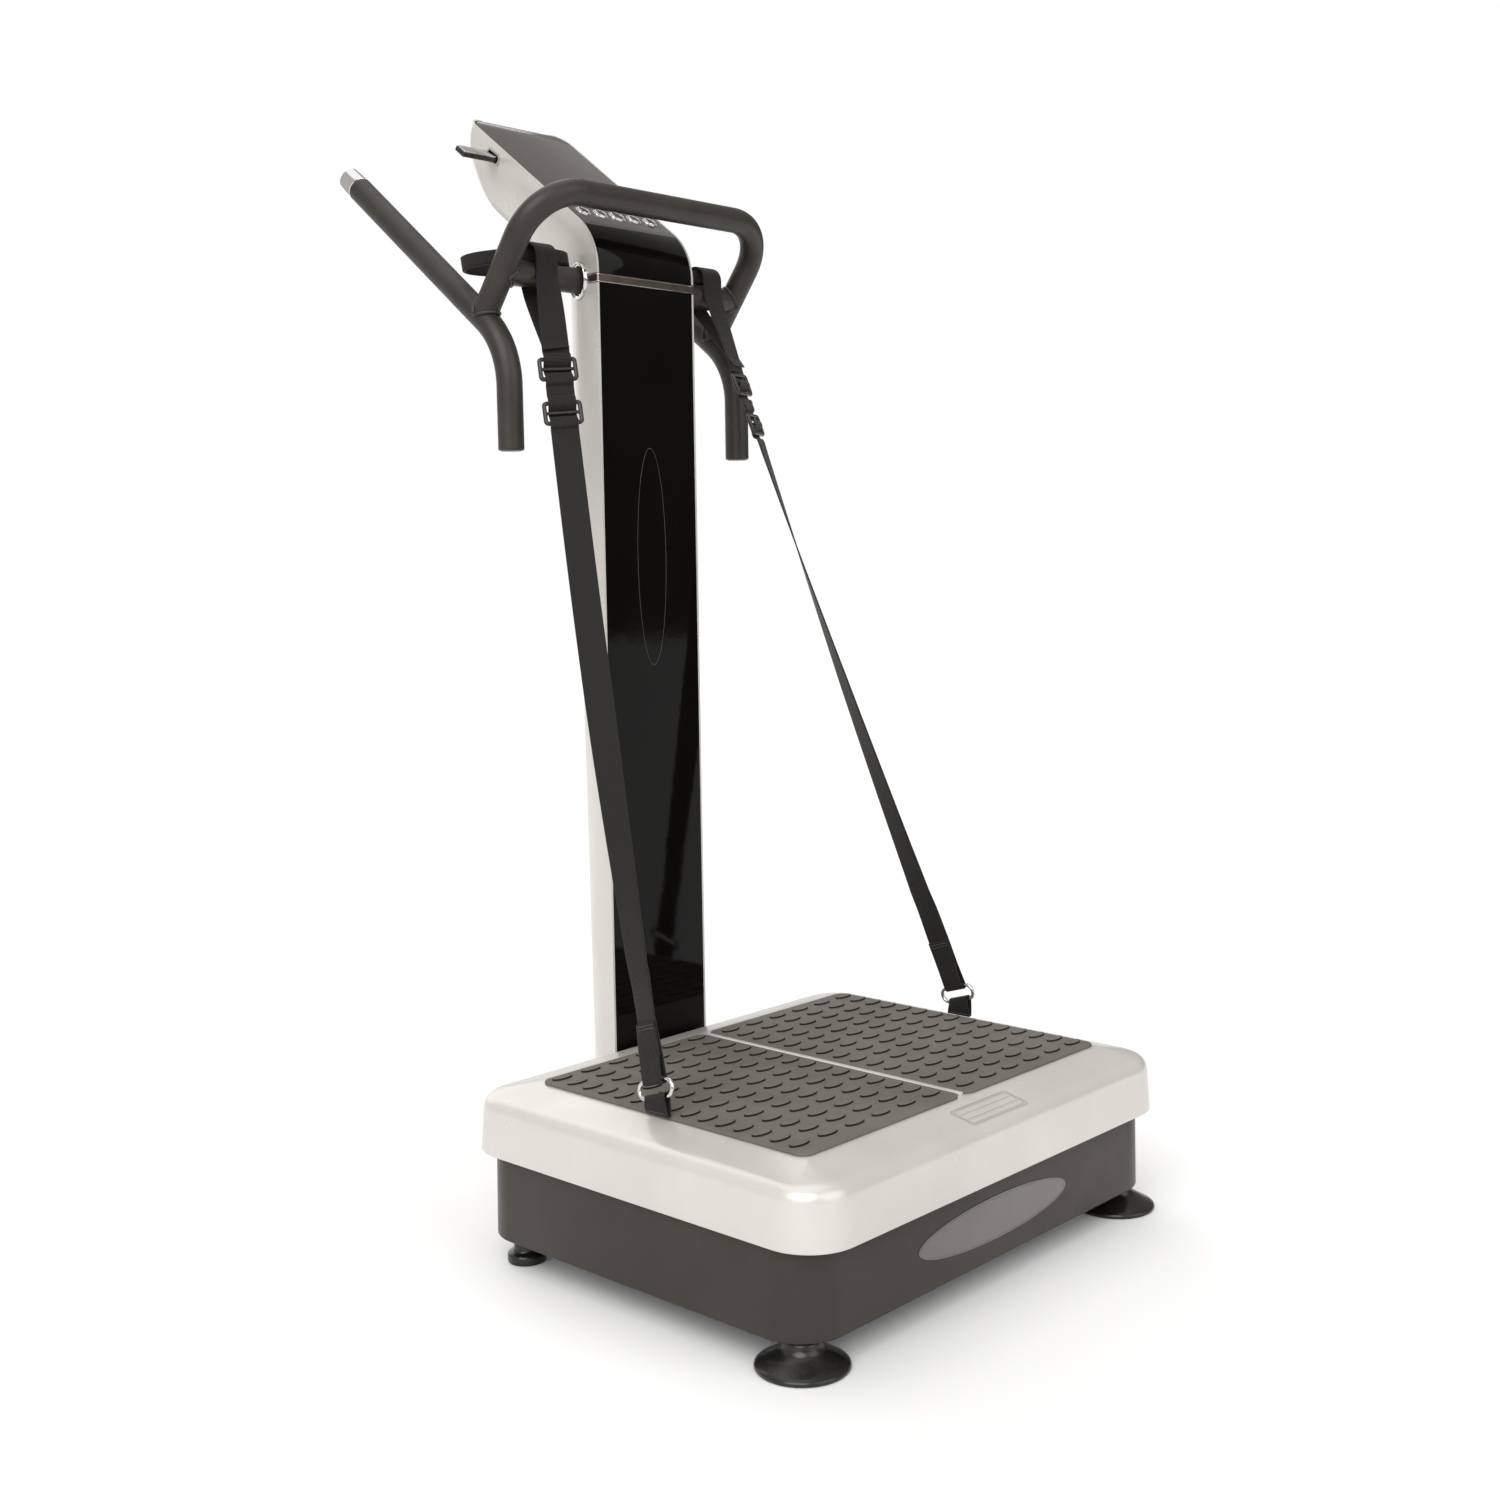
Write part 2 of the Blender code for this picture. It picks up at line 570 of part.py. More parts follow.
def make_electrics(mats):
    """Speed controller, mains inlet and rocker switch."""
    floor = FRAME_Z + 0.004 + GAP
    box("controller_box", (0.100, 0.070, 0.050), (-0.130, -0.255, floor + 0.025), mats["plastic"], 0.003)
    inlet = box("power_inlet", (0.028, 0.025, 0.020), (0.205, BASE_BACK_Y - 0.0115, 0.085), mats["plastic"])
    boolean(inlet, box("inlet_rim", (0.034, 0.0016, 0.026), (0.205, BASE_BACK_Y + 0.0013, 0.085)), "UNION")
    boolean(inlet, box("inlet_socket", (0.023, 0.020, 0.015), (0.205, BASE_BACK_Y - 0.004, 0.085)), "DIFFERENCE")
    case = box("switch_case", (0.019, 0.021, 0.028), (0.165, BASE_BACK_Y - 0.0095, 0.085), mats["plastic"])
    boolean(case, box("switch_rim", (0.024, 0.0016, 0.033), (0.165, BASE_BACK_Y + 0.0013, 0.085)), "UNION")
    boolean(case, box("switch_well", (0.0146, 0.014, 0.0236), (0.165, BASE_BACK_Y - 0.001, 0.085)), "DIFFERENCE")
    key = [(-0.0095, -0.0005), (-0.0088, 0.0036), (0.0, 0.0012), (0.0088, 0.0012), (0.0095, -0.0005), (0.0, -0.0048)]
    rocker = plate("rocker_switch", [key], 0.0136, mats["plastic"])
    turn = Matrix(((0, 0, 1), (0, 1, 0), (-1, 0, 0))).to_4x4()
    rocker.data.transform(turn)
    rocker.location = (0.165, BASE_BACK_Y, 0.085)


# ---------------------------------------------------------------- column and console

def half_section(front, back, half_w, count=12):
    """Half ellipse from the left front edge round the back to the right front edge."""
    front = Vector(front)
    along = Vector(back) - front
    points = []
    for i in range(count + 1):
        angle = math.pi * i / count
        points.append(front + Vector((-half_w * math.cos(angle), 0, 0)) + along * math.sin(angle))
    return points


def skin(name, sections, mat, wall=SHELL_WALL):
    """Open shell through a row of half sections, thickened inward."""
    bm = bmesh.new()
    rows = [[bm.verts.new(point) for point in section] for section in sections]
    for low, high in zip(rows, rows[1:]):
        for i in range(len(low) - 1):
            bm.faces.new((low[i], low[i + 1], high[i + 1], high[i]))
    mesh = bpy.data.meshes.new(name)
    bm.to_mesh(mesh)
    bm.free()
    return solidify(add_object(name, mesh, mat), wall, 1.0)


def column_depth(z):
    """Depth of the column, growing towards the top."""
    share = (z - COLUMN_BOTTOM_Z) / (CROSS_Z - COLUMN_BOTTOM_Z)
    return COLUMN_BOTTOM_DEPTH + (COLUMN_TOP_DEPTH - COLUMN_BOTTOM_DEPTH) * share


def collar_place(sign):
    """Centre of a collar on the column's side, and the direction it faces."""
    turn = sign * COLLAR_TURN if sign > 0 else math.pi - COLLAR_TURN
    return Vector((sign * COLLAR_X, CROSS_Y, CROSS_Z)), Vector((math.cos(turn), math.sin(turn), 0))


def cut_collar_seats(obj):
    """Round openings in which the two collars sit."""
    for sign in (-1, 1):
        centre, out = collar_place(sign)
        seat = rod("collar_seat", COLLAR_R + 0.0004, centre - out * 0.012, centre + out * 0.02, None, 32)
        boolean(obj, seat, "DIFFERENCE")
    return obj


def make_column(mats):
    """Back shell, front panel and steel mast."""
    top = CROSS_Z - TRIM_HALF_H - GAP
    sections = []
    for z in (COLUMN_BOTTOM_Z, 0.55, top):
        front = (0, COLUMN_FRONT_Y, z)
        sections.append(half_section(front, (0, COLUMN_FRONT_Y + column_depth(z), z), COLUMN_HALF_W))
    cut_collar_seats(skin("column_shell", sections, mats["silver"]))
    box("column_panel", (2 * PANEL_HALF_W, PANEL_THICKNESS, top - COLUMN_BOTTOM_Z),
        (0, COLUMN_FRONT_Y + PANEL_THICKNESS / 2, (top + COLUMN_BOTTOM_Z) / 2), mats["gloss"])
    mast_top = CROSS_Z - TUBE_R - GAP
    mast = box("column_mast", (0.060, 0.040, mast_top - COLUMN_BOTTOM_Z),
               (0, MAST_Y, (mast_top + COLUMN_BOTTOM_Z) / 2), mats["iron"])
    boolean(mast, box("mast_bore", (0.055, 0.035, 1.2), (0, MAST_Y, 0.5)), "DIFFERENCE")


def make_trim(mats):
    """Chrome strip across the front at handlebar height, and the two collars."""
    reach = 0.225
    outer = []
    inner = []
    for sign in (-1, 1):
        angles = [reach * i / 3 for i in range(4)]
        arc = [(sign * (COLUMN_HALF_W + 0.0012) * math.cos(a),
                COLUMN_FRONT_Y - 0.0012 + (COLUMN_TOP_DEPTH + 0.0012) * math.sin(a)) for a in angles]
        hollow = [(sign * (COLUMN_HALF_W - 0.0020) * math.cos(a),
                   COLUMN_FRONT_Y + 0.0012 + (COLUMN_TOP_DEPTH - 0.0020) * math.sin(a)) for a in angles]
        if sign < 0:
            outer += arc[::-1]
            inner += hollow[::-1]
        else:
            outer += arc
            inner += hollow
    strip = plate("trim_strip", [outer + inner[::-1]], 2 * (TRIM_HALF_H - GAP), mats["chrome"])
    strip.location.z = CROSS_Z
    cut_collar_seats(strip)
    inner = TUBE_R + 0.0024
    ring = [(inner + 0.0008, 0.0028), (COLLAR_R - 0.0012, 0.0028), (COLLAR_R, 0.0016), (COLLAR_R, -0.0045),
            (inner, -0.0045), (inner, 0.0020), (inner + 0.0008, 0.0028)]
    for side, sign in (("left", -1), ("right", 1)):
        centre, out = collar_place(sign)
        collar = turned("collar_" + side, ring, mats["chrome"], centre, 32)
        collar.rotation_euler = out.to_track_quat("Z", "Y").to_euler()


def console_front(s):
    """Point on the console's face line, and the outward normal, at a distance above the trim strip."""
    start_z = CROSS_Z + TRIM_HALF_H + GAP
    rise = BEND_START_Z - start_z
    turn = math.pi / 2 - CONSOLE_SLOPE
    arc = BEND_R * turn
    if s <= rise:
        return Vector((0, COLUMN_FRONT_Y, start_z + s)), Vector((0, -1, 0))
    centre = Vector((0, COLUMN_FRONT_Y + BEND_R, BEND_START_Z))
    angle = min((s - rise) / BEND_R, turn)
    out = Vector((0, -math.cos(angle), math.sin(angle)))
    point = centre + out * BEND_R
    beyond = max(s - rise - arc, 0.0)
    return point + Vector((0, math.cos(CONSOLE_SLOPE), math.sin(CONSOLE_SLOPE))) * beyond, out


def bend_end():
    """Distance along the console's face at which its straight stretch begins."""
    start_z = CROSS_Z + TRIM_HALF_H + GAP
    return BEND_START_Z - start_z + BEND_R * (math.pi / 2 - CONSOLE_SLOPE)


def console_total():
    """Whole length of the console's face line."""
    return bend_end() + CONSOLE_STRAIGHT


def console_back(s):
    """Point on the console's back line that faces the front point at the same distance."""
    front, out = console_front(s)
    straight = bend_end() + 0.030
    start = Vector((0, COLUMN_FRONT_Y + COLUMN_TOP_DEPTH, CROSS_Z + TRIM_HALF_H + GAP))
    if s < straight:
        low, normal = console_front(straight)
        return start.lerp(low - normal * CONSOLE_DEPTH, s / straight)
    into = max(s - (console_total() - CONSOLE_TAPER), 0.0) / CONSOLE_TAPER
    depth = CONSOLE_TIP_DEPTH + (CONSOLE_DEPTH - CONSOLE_TIP_DEPTH) * math.sqrt(max(1 - into * into, 0.0))
    return front - out * depth


def console_half_w(s, inset=0.0):
    """Half width of the console, round at the two tip corners."""
    into = max(s - (console_total() - inset - CONSOLE_CORNER_R), 0.0)
    radius = CONSOLE_CORNER_R
    return COLUMN_HALF_W - inset - radius + math.sqrt(max(radius * radius - into * into, 0.0))


def spaced(start, end, count):
    """Evenly spaced values, ends included."""
    return [start + (end - start) * i / (count - 1) for i in range(count)]


def console_stations(start, end):
    """Distances along the face: close together in the bend and at the tip."""
    total = console_total()
    marks = spaced(0.0, bend_end(), 7) + spaced(bend_end() + 0.03, total - CONSOLE_TAPER, 3)
    marks += [total - CONSOLE_TAPER * (1 - share) for share in (0.3, 0.55, 0.72, 0.84, 0.93, 0.98, 1.0)]
    inside = [s for s in marks if start + 0.004 < s < end - 0.004]
    return [start] + inside + [end]


def make_console(mats):
    """Console shell, lower panel, display panel and circuit board."""
    total = console_total()
    sections = []
    for s in console_stations(0.0, total):
        front, out = console_front(s)
        sections.append(half_section(front, console_back(s), console_half_w(s)))
    end_front, end_out = console_front(total)
    lip = end_front - end_out * 0.0006
    sections.append(half_section(lip, end_front - end_out * 0.0050, console_half_w(total) - 0.004))
    shell = skin("console_shell", sections, mats["silver"])
    cut_collar_seats(shell)
    boolean(shell, usb_slot_cutter(), "DIFFERENCE")
    make_face_sheet("console_lower_panel", 0.0, bend_end() - SEAM_S, mats["gloss"])
    display = make_face_sheet("display_panel", bend_end() - SEAM_S + 0.0008, total - 0.003, mats["gloss"])
    for index in range(5):
        radius = button_radius(index) + 0.0006
        centre, out = console_front(bend_end() + BUTTON_UP)
        centre.x = button_x(index)
        boolean(display, rod("button_hole", radius, centre - out * 0.02, centre + out * 0.02), "DIFFERENCE")
    make_console_board(mats)


def make_face_sheet(name, start, end, mat):
    """Sheet that closes the front of the console, between two distances along its face."""
    bm = bmesh.new()
    rows = []
    for s in console_stations(start, end):
        front, out = console_front(s)
        half = console_half_w(s, SHELL_WALL + 2 * GAP)
        rows.append([bm.verts.new(front + Vector((sign * half, 0, 0))) for sign in (-1, 1)])
    for low, high in zip(rows, rows[1:]):
        bm.faces.new((low[0], low[1], high[1], high[0]))
    mesh = bpy.data.meshes.new(name)
    bm.to_mesh(mesh)
    bm.free()
    return solidify(add_object(name, mesh, mat), PANEL_THICKNESS)


def make_console_board(mats):
    """Circuit board behind the display and the buttons."""
    board = box("console_board", (0.110, 0.130, 0.0016), (0, 0, 0), mats["board"])
    centre, out = console_front(bend_end() + 0.085)
    board.location = centre - out * 0.012
    board.rotation_euler = (CONSOLE_SLOPE, 0, 0)


def button_x(index):
    """Buttons stand in a row about the centre line."""
    return (index - 2) * BUTTON_PITCH


def button_radius(index):
    """The middle button is the larger one."""
    return MIDDLE_BUTTON_R if index == 2 else BUTTON_R


def make_buttons(mats):
    """Five push buttons, each a turned cap whose skirt sits behind the panel."""
    for index in range(5):
        radius = button_radius(index)
        profile = [(0, 0.0022), (radius - 0.0012, 0.0022), (radius, 0.0012), (radius, -0.0080), (0, -0.0080)]
        centre, out = console_front(bend_end() + BUTTON_UP)
        centre.x = button_x(index)
        button = turned("button_%d" % (index + 1), profile, mats["chrome"], centre, 20)
        button.rotation_euler = (CONSOLE_SLOPE, 0, 0)


def usb_place():
    """Centre of the port, on the centre line of the console."""
    centre, out = console_front(bend_end() + USB_UP)
    return centre - out * 0.014


def tilted_box(name, size, centre, mat=None, round_width=0.0):
    """A block turned to the slope of the console."""
    obj = box(name, size, (0, 0, 0), mat, round_width)
    obj.location = centre
    obj.rotation_euler = (CONSOLE_SLOPE, 0, 0)
    return obj


def usb_slot_cutter():
    """Cutter for the port opening."""
    return tilted_box("port_opening", (0.030, 0.0226, 0.0126), usb_place() + Vector((-0.070, 0, 0)))


def make_usb(mats):
    """Memory stick in its port on the console's left side."""
    centre = usb_place()
    port = tilted_box("usb_port", (0.0180, 0.0218, 0.0118), centre + Vector((-0.0675, 0, 0)), mats["plastic"])
    well = tilted_box("port_well", (0.020, 0.0180, 0.0080), centre + Vector((-0.0715, 0, 0)))
    boolean(port, well, "DIFFERENCE")
    stick = tilted_box("usb_stick", (0.050, 0.0172, 0.0072), centre + Vector((-0.0980, 0, 0)), mats["plastic"], 0.001)
    boolean(stick, tilted_box("stick_plug", (0.012, 0.0120, 0.0045), centre + Vector((-0.0680, 0, 0))), "UNION")


# ---------------------------------------------------------------- handlebar

def mirrored(point, sign):
    """A handlebar point moved to one side of the machine."""
    return Vector((sign * HANDLE_X, point.y, point.z))


def make_handlebar(mats):
    """Two side bars, the front grip bar and the cross tube through the column."""
    for side, sign in (("left", -1), ("right", 1)):
        corners = [mirrored(p, sign) for p in (BAR_LOW, BAR_BEND, BAR_HIGH)]
        slope = (corners[2] - corners[1]).normalized()
        corners[2] = corners[2] - slope * CAP_LENGTH
        tube("side_bar_" + side, rounded_corners(corners, BAR_BEND_R), TUBE_R, mats["tube"])
        rod("end_cap_" + side, TUBE_R, corners[2] + slope * GAP, mirrored(BAR_HIGH, sign), mats["chrome"])
    corners = [mirrored(LEG_JOINT, -1), mirrored(GRIP_CORNER, -1), mirrored(GRIP_CORNER, 1), mirrored(LEG_JOINT, 1)]
    grip = tube("grip_bar", rounded_corners(corners, GRIP_BEND_R), TUBE_R, mats["tube"])
    for sign in (-1, 1):
        slope = (BAR_HIGH - BAR_BEND).normalized()
        boolean(grip, rod("bar_saddle", TUBE_R + GAP + 0.0001, mirrored(LEG_JOINT - slope * 0.035, sign),
                          mirrored(LEG_JOINT + slope * 0.10, sign)), "DIFFERENCE")
    cross = rod("cross_tube", TUBE_R, (-HANDLE_X, CROSS_Y, CROSS_Z), (HANDLE_X, CROSS_Y, CROSS_Z), mats["tube"])
    for sign in (-1, 1):
        boolean(cross, rod("leg_saddle", TUBE_R + GAP + 0.0002, mirrored(LEG_JOINT, sign),
                           mirrored(GRIP_CORNER, sign)), "DIFFERENCE")


# ---------------------------------------------------------------- straps

def ribbon(name, stations, mat):
    """Flat band through stations of (centre, width direction, width)."""
    bm = bmesh.new()
    rows = []
    for i, (centre, across, width) in enumerate(stations):
        before = stations[max(i - 1, 0)][0]
        after = stations[min(i + 1, len(stations) - 1)][0]
        up = across.cross(after - before).normalized()
        side = across * width / 2
        lift = up * WEB_THICKNESS / 2
        rows.append([bm.verts.new(centre + p) for p in (-side - lift, side - lift, side + lift, -side + lift)])
    for low, high in zip(rows, rows[1:]):
        for i in range(4):
            bm.faces.new((low[i], low[(i + 1) % 4], high[(i + 1) % 4], high[i]))
    bm.faces.new(rows[0][::-1])
    bm.faces.new(rows[-1])
    return from_bmesh(name, bm, mat)


def heading(angle):
    """Horizontal direction at an angle from +X."""
    return Vector((math.cos(angle), math.sin(angle), 0))


def strap_turn(side, share):
    """Angle of the webbing's width from +X, from the ring (0) to the cross tube (1)."""
    keys = {"left": ((0, 90), (0.04, 90), (0.07, 80), (0.20, 93), (0.46, 128), (0.86, 146), (0.95, 158), (1, 180)),
            "right": ((0, 90), (0.04, 90), (0.07, 93), (0.20, 80), (0.44, 61), (0.63, 42), (0.88, 20), (1, 0))}[side]
    for (low, first), (high, second) in zip(keys, keys[1:]):
        if share <= high:
            return math.radians(first + (second - first) * (share - low) / (high - low))
    return math.radians(keys[-1][1])


def strap_ends(side, sign):
    """Ring bar at the bottom, touching line on the cross tube at the top, and the strap's direction."""
    ring = Vector((sign * RING_X, RING_Y, RING_Z))
    high = Vector((sign * STRAP_TOP_X[side], CROSS_Y - TUBE_REACH, CROSS_Z))
    rise = (high - ring).normalized()
    return ring + rise * RING_BEND_R, high, rise


def square_to(rise, angle):
    """Direction across the webbing: as near as can be to a horizontal heading, and square to the strap."""
    across = heading(angle)
    return (across - rise * across.dot(rise)).normalized()


def strap_centre(low, high, share):
    """Point on the strap's middle line: straight, with a slight bow outward."""
    return low.lerp(high, share) + Vector((-0.68, 0.73, 0)) * (STRAP_BOW * math.sin(math.pi * share))


def buckle_offset(z, elsewhere):
    """How far the webbing leaves its line to weave through a slide buckle."""
    for height in BUCKLE_HEIGHTS:
        away = abs(z - height)
        if away < 0.018:
            if away < 0.0025:
                return 0.0030
            if away < 0.0085:
                return 0.0030 - 0.0060 * (away - 0.0025) / 0.0060
            return -0.0030 * min(1.0, (0.018 - away) / 0.003)
    return elsewhere


def strap_marks(low_z, high_z):
    """Heights at which the strap has a station, denser at the buckles."""
    marks = spaced(low_z, high_z, 26)
    marks = [z for z in marks if all(abs(z - height) > 0.020 for height in BUCKLE_HEIGHTS)]
    for height in BUCKLE_HEIGHTS:
        marks += [height + step for step in (-0.018, -0.015, -0.0085, -0.0025, 0.0025, 0.0085, 0.015, 0.018)]
    return sorted(marks)


def make_strap(mats, side, sign):
    """One length of webbing: round the ring, up through two buckles, over the cross tube and back down."""
    low, high, rise = strap_ends(side, sign)

    def station(z, offset, width=WEB_WIDTH):
        share = (z - low.z) / (high.z - low.z)
        across = square_to(rise, strap_turn(side, share))
        return strap_centre(low, high, share) + across.cross(rise) * offset, across, width

    narrow = 0.027
    ring_reach = RING_WIRE_R + 0.0008 + WEB_THICKNESS / 2
    stations = [station(low.z + SEAM_UP, -0.0011, 0.0295), station(low.z + 0.028, -0.0018, 0.029),
                station(low.z + 0.012, -0.0032, narrow)]
    centre, across, width = station(low.z, 0.0)
    facing = across.cross(rise)
    for i in range(7):
        angle = math.pi * i / 6
        stations.append((low - (facing * math.cos(angle) + rise * math.sin(angle)) * ring_reach, across, narrow))
    stations += [station(low.z + 0.012, 0.0032, narrow), station(low.z + 0.028, 0.0018, 0.029)]
    for z in strap_marks(low.z + SEAM_UP, high.z - 0.012):
        stations.append(station(z, buckle_offset(z, 0.0011 if z < low.z + 0.1 else 0.0)))
    stations += arch_stations(high.x, TUBE_REACH)
    last = stations[-1][0]
    target, across, width = station(BUCKLE_HEIGHTS[0] + 0.021, 0.0036 * (-1 if side == "left" else 1))
    for i in range(1, 5):
        place = last.lerp(target, i / 4)
        turn = strap_turn(side, (place.z - low.z) / (high.z - low.z))
        stations.append((place, square_to((target - last).normalized(), turn), WEB_WIDTH))
    return ribbon("strap_" + side, even_widths(stations), mats["web"])


def even_widths(stations):
    """Keeps the width direction from flipping between neighbouring stations."""
    kept = [stations[0]]
    for centre, across, width in stations[1:]:
        kept.append((centre, -across if across.dot(kept[-1][1]) < 0 else across, width))
    return kept


def arch_stations(x, reach):
    """Up the front of the cross tube, over the hand loop's band and down the tube's back."""
    across = Vector((1, 0, 0))
    stations = [(Vector((x, CROSS_Y - reach, CROSS_Z + rise)), across, WEB_WIDTH) for rise in (0.0, 0.010)]
    for i in range(9):
        angle = math.pi * i / 8
        stations.append((Vector((x, CROSS_Y - reach * math.cos(angle), CROSS_Z + ARCH_RISE + reach * math.sin(angle))),
                         across, WEB_WIDTH))
    for i in range(1, 5):
        angle = math.radians(12 * i)
        stations.append((Vector((x, CROSS_Y + reach * math.cos(angle), CROSS_Z - reach * math.sin(angle))),
                         across, WEB_WIDTH))
    return stations


def make_buckles(mats, side, sign):
    """Two slide buckles on one strap, each a frame with a middle bar."""
    low, high, rise = strap_ends(side, sign)
    outer = [(-BUCKLE_HALF_W, -BUCKLE_HALF_H), (BUCKLE_HALF_W, -BUCKLE_HALF_H),
             (BUCKLE_HALF_W, BUCKLE_HALF_H), (-BUCKLE_HALF_W, BUCKLE_HALF_H)]
    slots = [[(-0.0165, y - 0.0034), (0.0165, y - 0.0034), (0.0165, y + 0.0034), (-0.0165, y + 0.0034)]
             for y in (-0.0055, 0.0055)]
    for number, height in enumerate(BUCKLE_HEIGHTS, 1):
        share = (height - low.z) / (high.z - low.z)
        across = square_to(rise, strap_turn(side, share))
        facing = across.cross(rise)
        obj = plate("buckle_%s_%d" % (side, number), [outer] + slots, 2 * BUCKLE_HALF_T, mats["plastic"])
        frame = Matrix((across, rise, facing)).transposed().to_4x4()
        obj.matrix_world = Matrix.Translation(strap_centre(low, high, share)) @ frame


def make_ring(mats, side, sign):
    """Oval steel ring between the strap and the short loop on the deck."""
    low, high, rise = strap_ends(side, sign)
    across = square_to(rise, RING_TURN)
    centre = low - rise * RING_BEND_R
    points = []
    for end, start in ((1, -math.pi / 2), (-1, math.pi / 2)):
        for i in range(9):
            angle = start + math.pi * i / 8
            points.append(centre + across * (end * RING_HALF_STRAIGHT + RING_BEND_R * math.cos(angle))
                          + rise * (RING_BEND_R * math.sin(angle)))
    curve = bpy.data.curves.new("ring", "CURVE")
    curve.dimensions = "3D"
    curve.bevel_depth = RING_WIRE_R
    curve.bevel_resolution = 2
    spline = curve.splines.new("POLY")
    spline.points.add(len(points) - 1)
    spline.use_cyclic_u = True
    for point, place in zip(spline.points, points):
        point.co = (*place, 1.0)
    mesh_from_curve("ring_" + side, curve, mats["chrome"])


def make_anchor(mats, side, sign):
    """Short webbing loop from the mat's outer edge up round the ring."""
    low, high, rise = strap_ends(side, sign)
    across = square_to(rise, RING_TURN)
    facing = across.cross(rise)
    reach = RING_WIRE_R + 0.0008 + WEB_THICKNESS / 2
    top = low - rise * (2 * RING_BEND_R)
    foot = Vector((sign * RING_X, top.y, MAT_TOP_Z + 0.0006))

    def leg(direction):
        stations = []
        for i in range(4):
            share = i / 4
            offset = 0.0014 + (reach - 0.0014) * math.sin(share * math.pi / 2)
            width = ANCHOR_WIDTH + (ANCHOR_TOP_WIDTH - ANCHOR_WIDTH) * share
            stations.append((foot.lerp(top, share) + facing * (direction * offset),
                             heading(RING_TURN).lerp(across, share).normalized(), width))
        return stations

    bend = []
    for i in range(7):
        angle = math.pi * i / 6
        bend.append((top + (rise * math.sin(angle) - facing * math.cos(angle)) * reach, across, ANCHOR_TOP_WIDTH))
    ribbon("anchor_loop_" + side, leg(-1) + bend + leg(1)[::-1], mats["web"])


def make_hand_loop(mats, side, sign):
    """Stiff oval hand loop that lies on the cross tube, under the arch of the tether strap."""
    turn = math.radians(22) * sign
    outlines = []
    for inset in (0.0, 0.004):
        outline = []
        for x, y in circle(1.0, count=28):
            x *= HAND_LOOP_HALF_L - inset
            y *= HAND_LOOP_HALF_W - inset
            outline.append((x * math.cos(turn) - y * math.sin(turn), x * math.sin(turn) + y * math.cos(turn)))
        outlines.append(outline)
    obj = plate("hand_loop_" + side, outlines, HAND_LOOP_HEIGHT, mats["web"])
    drop = (HAND_LOOP_Y - CROSS_Y) * math.tan(HAND_LOOP_TILT)
    obj.location = (sign * HAND_LOOP_X, HAND_LOOP_Y, CROSS_Z + TUBE_R + 0.0008 + HAND_LOOP_HEIGHT / 2 - drop)
    obj.rotation_euler = (-HAND_LOOP_TILT, 0, 0)


def make_straps(mats):
    """Everything that hangs between the cross tube and the deck."""
    for side, sign in (("left", -1), ("right", 1)):
        make_strap(mats, side, sign)
        make_buckles(mats, side, sign)
        make_ring(mats, side, sign)
        make_anchor(mats, side, sign)
        make_hand_loop(mats, side, sign)


def main():
    """Builds the whole machine."""
    start_scene()
    mats = make_materials()
    make_cover(mats)
    make_mats(mats)
    make_platform_frame(mats)
    make_pivot(mats)
    make_crank(mats)
    make_connecting_rod(mats)
    make_motor(mats)
    make_belt(mats)
    make_base_shell(mats)
    make_base_frame(mats)
    make_feet(mats)
    make_electrics(mats)
    make_column(mats)
    make_trim(mats)
    make_console(mats)
    make_buttons(mats)
    make_usb(mats)
    make_handlebar(mats)
    make_straps(mats)


main()
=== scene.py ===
"""Whole-body vibration plate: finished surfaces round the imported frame. Metres, +Z up, the user faces +Y."""

import math

import bmesh
import bpy
from mathutils import Matrix, Vector


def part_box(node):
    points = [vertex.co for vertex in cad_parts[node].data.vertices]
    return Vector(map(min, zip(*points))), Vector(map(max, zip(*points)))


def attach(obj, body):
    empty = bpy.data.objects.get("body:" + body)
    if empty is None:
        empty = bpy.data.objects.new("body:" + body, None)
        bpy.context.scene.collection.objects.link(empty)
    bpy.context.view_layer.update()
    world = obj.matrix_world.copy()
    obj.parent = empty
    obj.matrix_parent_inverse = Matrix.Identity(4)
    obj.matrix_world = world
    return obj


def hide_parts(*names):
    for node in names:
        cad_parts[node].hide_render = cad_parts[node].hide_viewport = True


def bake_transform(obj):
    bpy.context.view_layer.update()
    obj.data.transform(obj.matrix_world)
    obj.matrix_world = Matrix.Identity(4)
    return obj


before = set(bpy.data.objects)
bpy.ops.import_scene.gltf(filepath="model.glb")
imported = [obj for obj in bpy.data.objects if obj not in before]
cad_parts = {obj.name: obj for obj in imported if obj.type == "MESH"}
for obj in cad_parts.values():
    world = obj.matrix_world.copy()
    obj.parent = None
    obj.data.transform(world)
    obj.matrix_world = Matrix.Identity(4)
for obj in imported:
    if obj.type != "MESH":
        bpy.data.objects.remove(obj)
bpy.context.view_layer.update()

# Platform and base
MAT_HALF_W, MAT_X, MAT_FRONT_Y, MAT_BACK_Y, MAT_TOP_Z = 0.121, 0.125, -0.3435, 0.0217, 0.189
BUMP_HALF_W, BUMP_HALF_D, BUMP_PITCH_X, BUMP_PITCH_Y = 0.013, 0.0056, 0.0403, 0.0235
RIM_SLOPE = Vector((0.052, 0.0115))
FOOT_X, FOOT_FRONT_Y, FOOT_REAR_Y = 0.2665, -0.3556, 0.0263
STEM_TOP_Z, THREAD_PITCH = 0.058, 0.001
INLET_X, SWITCH_X, INLET_Z = 0.205, 0.165, 0.085

